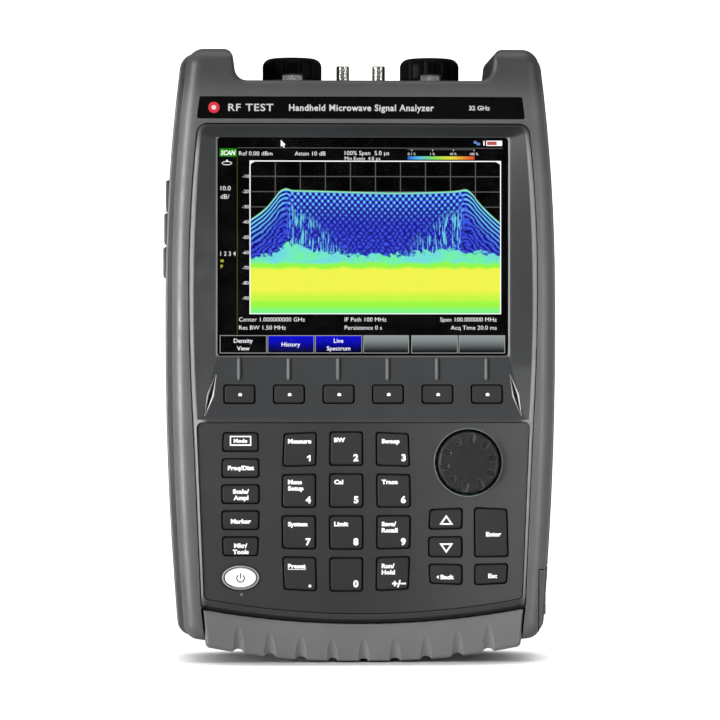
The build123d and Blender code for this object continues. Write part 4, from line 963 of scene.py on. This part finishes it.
def panel_tone(s, base):
    """Painted shade from the left edge towards the middle, painted light towards the right, and a painted highlight
    round the knob's hole.
    """
    x, y, z = s.place()
    low, high = span("tuning_knob")
    across = s.math("SUBTRACT", x, (low.x + high.x) / 2)
    up = s.math("SUBTRACT", z, (low.z + high.z) / 2)
    out = s.math("SQRT", s.math("ADD", s.math("POWER", across, 2.0), s.math("POWER", up, 2.0)))
    # painted shade, growing from the left edge to the middle
    base = s.mix(s.ramp(x, -75.0, -15.0, 0.0, 0.2), base, grey(0.0))
    # painted light, growing towards the right
    base = s.mix(s.ramp(x, -5.0, 78.0, 0.0, 0.6), base, shade(PANEL, 2.1))
    # painted highlight: a thin bright ring round the knob's hole
    ring = s.ramp(s.math("ABSOLUTE", s.math("SUBTRACT", out, 16.15)), 0.35, 0.1)
    return s.mix(ring, base, shade(PANEL, 4.5)), 0.0


def power_material():
    """White lens in the middle of the power key, dark groove, pale rim, and painted shade on its sides down in the
    gap.
    """
    s = Shader("power_white")
    low, high = span("power_key")
    half_x, half_z = (high.x - low.x) / 2 - FLANGE, (high.z - low.z) / 2 - FLANGE
    x, y, z = s.place()
    across = s.math("DIVIDE", s.math("SUBTRACT", x, (low.x + high.x) / 2), half_x)
    up = s.math("DIVIDE", s.math("SUBTRACT", z, (low.z + high.z) / 2), half_z)
    out = s.math("SQRT", s.math("ADD", s.math("POWER", across, 2.0), s.math("POWER", up, 2.0)))
    lens = s.ramp(out, 0.845, 0.835)
    mottle = s.noise(1.5, detail=3.0)
    edge, soft = s.edges(0.3)
    pale = s.math("MULTIPLY", s.ramp(out, 0.895, 0.915), s.ramp(mottle, 0.3, 0.7, 0.85, 1.0))
    rim = s.mix(pale, grey(0.025), grey(0.42))
    face = s.mix(s.ramp(mottle, 0.3, 0.7), (0.86, 0.86, 0.85, 1), (0.93, 0.93, 0.93, 1))
    # painted shade on the key's sides, more than 0.5 mm behind its face
    base = s.mix(s.ramp(y, low.y + 0.8, low.y + 0.5), grey(0.02), s.mix(lens, rim, face))
    shell = s.add("BsdfPrincipled", Roughness=s.ramp(mottle, 0.3, 0.7, 0.28, 0.4))
    s.put(shell.inputs["Base Color"], base)
    s.put(shell.inputs["Normal"], s.bump(s.noise(0.3), 0.08, 0.02, soft))
    s.put(shell.inputs["Emission Color"], face)
    s.put(shell.inputs["Emission Strength"], s.math("MULTIPLY", lens, 0.25))
    return s.finish(shell.outputs[0])


def bezel_material():
    """Satin moulding with a smoother lip along both sides; painted highlights on the lip, weaker on the right, on
    edges and along the window's sides; painted shade on the slopes beside and above the window and in gaps; the strip
    along its foot is black.
    """
    s = Shader("bezel_grey")
    colour = grey(0.04, 0.04)
    x, y, z = s.place()
    low, high = span("display_bezel")
    sideways = s.math("ABSOLUTE", x)
    out = s.ramp(sideways, 74.0, 78.0)
    lip = s.math("MULTIPLY", s.ramp(y, low.y + 0.55, low.y + 0.2), out)
    lip = s.math("MULTIPLY", lip, s.ramp(z, 26.0, 34.0))
    edge, soft = s.edges(0.7)
    smudge = s.noise(7.0, detail=4.0, roughness=0.6)
    fine = s.noise(0.35)
    base = s.mix(s.ramp(s.noise(22.0, detail=3.0), 0.3, 0.7), shade(colour, 0.94), shade(colour, 1.06))
    # painted shade on the side slopes beside the window and on the top slope, stronger on the right
    shaded_flank = s.math("MULTIPLY", s.ramp(sideways, 69.6, 71.5), s.ramp(z, 138.0, 143.0))
    shaded_flank = s.math("MAXIMUM", shaded_flank, s.ramp(z, 250.4, 251.6))
    base = s.mix(s.math("MULTIPLY", shaded_flank, s.ramp(x, -75.0, 75.0, 0.15, 0.5)), base, grey(0.0))
    # painted highlight on edges
    base = s.mix(s.math("MULTIPLY", edge, 0.5), base, shade(colour, 3.0))
    # painted highlight on the lip along both sides, weaker on the right
    lip_highlight = s.math("MULTIPLY", lip, s.ramp(z, 257.0, 240.0, 0.1, 1.0))
    base = s.mix(s.math("MULTIPLY", lip_highlight, s.ramp(x, -5.0, 5.0, 1.0, 0.6)), base, grey(0.36))
    # painted highlight: a thin pale line along the window's sides
    rim = s.math("MULTIPLY", s.ramp(sideways, 70.35, 70.1), s.ramp(z, 145.0, 147.0))
    base = s.mix(s.math("MULTIPLY", rim, s.ramp(z, 250.3, 250.0)), base, grey(0.24))
    base = shelf_marks(s, base, colour, x, sideways, z)
    foot = s.math("MULTIPLY", s.math("POWER", s.math("DIVIDE", x, 77.1), 2.0), 7.1)
    above = s.math("SUBTRACT", s.math("SUBTRACT", z, foot), 19.0)
    base = s.mix(s.math("MULTIPLY", s.ramp(above, 1.5, 1.1), 0.85), base, grey(0.0))
    # painted shade in narrow gaps, with their reflection taken away
    deep = s.crevice()
    base = s.mix(deep, base, shade(colour, 0.04))
    rough = s.ramp(smudge, 0.25, 0.75, 0.34, 0.44)
    rough = s.math("SUBTRACT", rough, s.math("MULTIPLY", lip, 0.12))
    shell = s.add("BsdfPrincipled", Roughness=rough, Normal=s.bump(fine, 0.1, 0.04, soft))
    s.put(shell.inputs["Base Color"], base)
    s.put(shell.inputs["Specular IOR Level"], s.math("MULTIPLY", s.math("SUBTRACT", 1.0, deep), 0.24))
    return s.finish(shell.outputs[0])


def shelf_marks(s, base, colour, x, sideways, z):
    """Painted highlight and shade on the pointer ribs, light on their left side and dark on their right, and on the
    two corner grooves, pale rims round a dark middle.
    """
    rows = s.math("MULTIPLY", s.ramp(z, 134.4, 135.4), s.ramp(z, 144.9, 144.2))
    rows = s.math("MULTIPLY", rows, s.ramp(sideways, 64.0, 62.0))
    # painted highlight on each rib's left side, painted shade on its right
    for shift, factor in ((0.35, 3.4), (-0.85, 0.2)):
        stripe = s.ramp(s.math("PINGPONG", s.math("ADD", x, shift), 11.8), 11.1, 11.4)
        base = s.mix(s.math("MULTIPLY", stripe, s.math("MULTIPLY", rows, 0.85)), base, shade(colour, factor))
    right, up = s.math("SUBTRACT", sideways, 72.8), s.math("SUBTRACT", z, 127.2)
    along = s.math("SUBTRACT", s.math("MULTIPLY", right, 0.261), s.math("MULTIPLY", up, 0.965))
    away = s.math("ADD", s.math("MULTIPLY", right, 0.965), s.math("MULTIPLY", up, 0.261))
    wide = s.math("SUBTRACT", 1.35, s.math("MULTIPLY", s.math("ABSOLUTE", along), 0.125))
    share = s.math("DIVIDE", s.math("ABSOLUTE", away), s.math("MAXIMUM", wide, 0.2))
    near = s.ramp(s.math("ABSOLUTE", along), 10.2, 9.8)
    # painted highlight on the grooves' rims, then painted shade in their middle
    base = s.mix(s.math("MULTIPLY", near, s.ramp(share, 1.3, 1.15)), base, grey(0.6))
    return s.mix(s.math("MULTIPLY", near, s.ramp(share, 0.75, 0.6)), base, grey(0.002))


def knob_material():
    """Soft-touch rubber, turned finely about the knob's axis, with a painted highlight on its edges."""
    s = Shader("knob_black")
    low, high = span("tuning_knob")
    x, y, z = s.place()
    across = s.math("SUBTRACT", x, (low.x + high.x) / 2)
    up = s.math("SUBTRACT", z, (low.z + high.z) / 2)
    out = s.math("SQRT", s.math("ADD", s.math("POWER", across, 2.0), s.math("POWER", up, 2.0)))
    rings = s.math("SINE", s.math("MULTIPLY", out, 2 * math.pi / 0.35))
    fine = s.noise(0.18)
    base = s.mix(s.ramp(s.noise(5.0, detail=4.0), 0.3, 0.7), grey(0.013), grey(0.018))
    edge, soft = s.edges(0.4)
    # painted highlight on the knob's edges
    base = s.mix(s.math("MULTIPLY", edge, 0.8), base, grey(0.2))
    height = s.math("ADD", s.math("MULTIPLY", rings, 0.12), fine)
    shell = s.add("BsdfPrincipled", Roughness=s.ramp(s.noise(3.0), 0.3, 0.7, 0.42, 0.52))
    s.put(shell.inputs["Base Color"], base)
    s.put(shell.inputs["Specular IOR Level"], 0.3)
    s.put(shell.inputs["Normal"], s.bump(height, 0.12, 0.03, soft))
    return s.finish(shell.outputs[0])


def battery_shell():
    s = Shader("battery_black")
    x, y, z = s.place()
    fine = s.noise(0.25)
    base = s.mix(s.ramp(s.noise(9.0), 0.3, 0.7), grey(0.02), grey(0.03))
    label = s.math("MULTIPLY", s.ramp(x, -50.0, -49.8), s.ramp(x, 40.2, 40.0))
    stripe = s.math("GREATER_THAN", s.math("PINGPONG", x, 6.0), 5.4)
    base = s.mix(s.math("MULTIPLY", label, 0.5), base, s.mix(stripe, grey(0.3), grey(0.05)))
    shell = s.add("BsdfPrincipled", Roughness=s.ramp(fine, 0.3, 0.7, 0.42, 0.55))
    s.put(shell.inputs["Base Color"], base)
    s.put(shell.inputs["Normal"], s.bump(fine, 0.15, 0.03))
    return s.finish(shell.outputs[0])


def node_materials():
    """Every CAD node's material."""
    housing = moulded("housing_grey", HOUSING, 0.42, 0.28, 0.2, pale_edges=0.3, tone=housing_tone)
    door = moulded("battery_door_grey", HOUSING, 0.42, 0.28, 0.2, pale_edges=0.3)
    panel = moulded("panel_dark", PANEL, 0.5, 0.22, 0.3, specular=0.22, pale_edges=0.3, tone=panel_tone)
    keys = moulded("key_black", KEY, 0.5, 0.16, 0.12, specular=0.17, pale_edges=0.8, bright=4.0, edge_mm=0.25)
    bumper = moulded("bumper_grey", grey(0.152), 0.32, 0.45, 0.06, pale_edges=0.9, bright=3.0, edge_mm=0.5, coat=0.25)
    stand = moulded("stand_grey", grey(0.05), 0.5, 0.3, 0.3, pale_edges=0.4)
    covers = moulded("cover_rubber", grey(0.06), 0.6, 0.2, 0.25, pale_edges=0.3)
    caps = moulded("cap_black", grey(0.002), 0.42, 0.3, 0.04, specular=0.04, pale_edges=0.25, bright=4.0)
    strip = moulded("name_black", grey(0.002), 0.3, 1.5, 0.02, specular=0.1, pale_edges=0.1)
    foam = moulded("foam", grey(0.015), 0.9, 0.6, 0.8)
    steel = metal("connector_steel", (0.62, 0.6, 0.57, 1), 0.2)
    ports = metal("port_steel", (0.7, 0.69, 0.67, 1), 0.3, painted_glow=0.35)
    cast = metal("cast_metal", (0.42, 0.42, 0.43, 1), 0.45)
    screws = metal("screw_steel", (0.2, 0.2, 0.21, 1), 0.35)
    domes = metal("metal_dome", (0.7, 0.69, 0.66, 1), 0.22)
    board = circuit_board()
    glass = moulded("screen_glass", grey(0.006), 0.12, 2.0, 0.01, pale_edges=0.05)
    named = {
        "front_housing": housing, "rear_housing": housing, "battery_door": door, "display_bezel": bezel_material(),
        "keypad_panel": panel, "bottom_bumper": bumper, "name_plate": strip, "display_window": clear_window(),
        "window_gasket": foam, "lcd_module": glass, "keypad_board": board, "dome_switches": domes,
        "encoder": cast, "mid_chassis": cast, "main_board": board, "rf_module": cast,
        "battery_pack": battery_shell(), "connector_plate": cast, "rf_ports": ports, "sma_connectors": steel,
        "io_jacks": steel, "case_gasket": foam, "case_screws": screws, "board_screws": screws,
        "bail_stand": stand, "port_cap_left": caps, "port_cap_right": caps, "tuning_knob": knob_material(),
        "power_key": power_material(), "side_door_upper": covers, "side_door_middle": covers,
        "side_door_lower": covers,
    }
    for node, shown in NODES.items():
        shown.data.materials.clear()
        shown.data.materials.append(named.get(node, keys))
    return steel


# ---- stage: floor, lights, camera ---------------------------------------


def floor_material():
    """Pale paper; the camera alone sees it glow, more towards the back, and the glow is held off an oval round the
    object's footprint so the shadow there shows.
    """
    s = Shader("floor_white")
    cloud = s.noise(400.0, detail=2.0)
    base = s.mix(s.ramp(cloud, 0.3, 0.7), (0.9, 0.9, 0.9, 1), (0.93, 0.93, 0.93, 1))
    shell = s.add("BsdfPrincipled", Roughness=0.6)
    s.put(shell.inputs["Base Color"], base)
    s.put(shell.inputs["Specular IOR Level"], 0.2)
    s.put(shell.inputs["Normal"], s.bump(s.noise(3.0), 0.02, 0.1))
    x, y, z = s.place()
    seen = s.add("LightPath").outputs["Is Camera Ray"]
    glow = s.ramp(y, -100.0, 700.0, 0.8, 1.2)
    s.put(shell.inputs["Emission Color"], (1, 1, 1, 1))
    # painted light: a glow seen only by the camera, kept off an oval round the object's footprint
    across = s.math("POWER", s.math("DIVIDE", x, 84.0), 4.0)
    along = s.math("POWER", s.math("DIVIDE", s.math("ADD", y, 10.0), 44.0), 4.0)
    clear = s.ramp(s.math("ADD", across, along), 0.25, 1.7)
    s.put(shell.inputs["Emission Strength"], s.math("MULTIPLY", s.math("MULTIPLY", seen, clear), glow))
    return s.finish(shell.outputs[0])


def build_floor():
    """A floor that curves up into a backdrop far behind."""
    floor_mesh = bmesh.new()
    wide, near, turn, radius, high = 6.0, -3.0, 2.2, 1.5, 6.0
    profile = [(near, 0.0), (turn, 0.0)]
    for i in range(1, 17):
        angle = math.pi / 2 * i / 16
        profile.append((turn + radius * math.sin(angle), radius * (1 - math.cos(angle))))
    profile.append((turn + radius, high))
    rows = [[floor_mesh.verts.new((x, y, z)) for x in (-wide, wide)] for y, z in profile]
    for low, up in zip(rows, rows[1:]):
        floor_mesh.faces.new((low[0], low[1], up[1], up[0]))
    data = bpy.data.meshes.new("floor")
    floor_mesh.to_mesh(data)
    floor_mesh.free()
    data.shade_smooth()
    data.materials.append(floor_material())
    floor = bpy.data.objects.new("floor", data)
    bpy.context.scene.collection.objects.link(floor)


def build_world():
    """White as the camera sees it; a studio that is darker to the right as the object sees it."""
    world = bpy.data.worlds.new("studio")
    bpy.context.scene.world = world
    world.use_nodes = True
    tree = world.node_tree
    tree.nodes.clear()

    def add(kind, **settings):
        node = tree.nodes.new("ShaderNode" + kind)
        for key, value in settings.items():
            setattr(node, key, value)
        return node

    direction = add("TexCoord")
    split = add("SeparateXYZ")
    tree.links.new(direction.outputs["Generated"], split.inputs[0])
    side = add("MapRange", interpolation_type="SMOOTHSTEP")
    tree.links.new(split.outputs[0], side.inputs[0])
    for socket, value in zip(side.inputs[1:5], (-0.9, 0.9, 0.26, 0.16)):
        socket.default_value = value
    studio = add("Background")
    studio.inputs["Color"].default_value = (1, 1, 1, 1)
    tree.links.new(side.outputs[0], studio.inputs["Strength"])
    white = add("Background")
    white.inputs["Color"].default_value = (1, 1, 1, 1)
    white.inputs["Strength"].default_value = 1.0
    path = add("LightPath")
    mix = add("MixShader")
    tree.links.new(path.outputs["Is Camera Ray"], mix.inputs[0])
    tree.links.new(studio.outputs[0], mix.inputs[1])
    tree.links.new(white.outputs[0], mix.inputs[2])
    output = add("OutputWorld")
    tree.links.new(mix.outputs[0], output.inputs["Surface"])


def aim(name, data, place, target):
    """Puts a lamp or a camera in the scene, looking at the target."""
    made = bpy.data.objects.new(name, data)
    bpy.context.scene.collection.objects.link(made)
    made.location = place
    made.rotation_euler = (Vector(target) - Vector(place)).to_track_quat("-Z", "Y").to_euler()
    return made


def area_light(name, place, target, width, height, watts):
    data = bpy.data.lights.new(name, "AREA")
    data.shape = "RECTANGLE"
    data.size = width
    data.size_y = height
    data.energy = watts
    aim(name, data, place, target)


def spot_light(name, place, target, angle, radius, watts):
    """A soft-edged spot that brightens one area."""
    data = bpy.data.lights.new(name, "SPOT")
    data.spot_size = math.radians(angle)
    data.spot_blend = 1.0
    data.shadow_soft_size = radius
    data.energy = watts
    aim(name, data, place, target)


def build_lights():
    area_light("left_box", (-1.3, -0.75, 0.25), (0, 0, 0.15), 0.8, 1.3, 12)
    area_light("right_box", (1.3, -0.8, 0.25), (0, 0, 0.15), 0.5, 1.2, 5.4)
    area_light("top_box", (0.0, -0.3, 1.7), (0, 0, 0.1), 1.4, 0.9, 8)
    spot_light("left_spot", (-1.35, -0.68, 0.05), (-0.17, -0.03, 0.06), 19, 0.3, 300)
    spot_light("right_spot", (0.9, -1.1, 0.12), (0.14, -0.03, 0.09), 16, 0.2, 66)


CAMERA_PLACE = (-0.070, -1.736, 0.145)
CAMERA_AIM = (-0.0017, -0.036, 0.144)
LENS_MM = 178.8


def build_camera():
    data = bpy.data.cameras.new("camera")
    data.sensor_width = 36.0
    data.lens = LENS_MM
    data.clip_start, data.clip_end = 0.05, 50.0
    bpy.context.scene.camera = aim("camera", data, CAMERA_PLACE, CAMERA_AIM)


# ---- put it together ----------------------------------------------------

bpy.context.scene.view_settings.view_transform = "Standard"
connector_steel = node_materials()
# the legends' and the name plate's print get a painted glow
legend_white = ink("legend_white", (0.92, 0.92, 0.92, 1), glow=0.25)
legend_grey = ink("legend_grey", (0.62, 0.62, 0.62, 1), glow=0.1)
legend_dark = ink("legend_dark", grey(0.05))
mark_red = ink("mark_red", rgb(205, 30, 50), glow=0.15)

build_screen()
build_centred_legends(legend_white)
build_number_legends(legend_white)
build_symbol_legends(legend_white, legend_dark)
build_softkey_dots(legend_white)
build_name_plate(legend_grey, mark_red)
lamp_front = span("keypad_panel")[0].y + 0.35
dome("status_lamp", ink("lamp_lens", grey(0.25), roughness=0.25), -58.0, 32.4, lamp_front, 0.76, 0.3,
     body_of("keypad_panel"), "window_clear")
build_threads(connector_steel)
build_floor()
build_world()
build_lights()
build_camera()
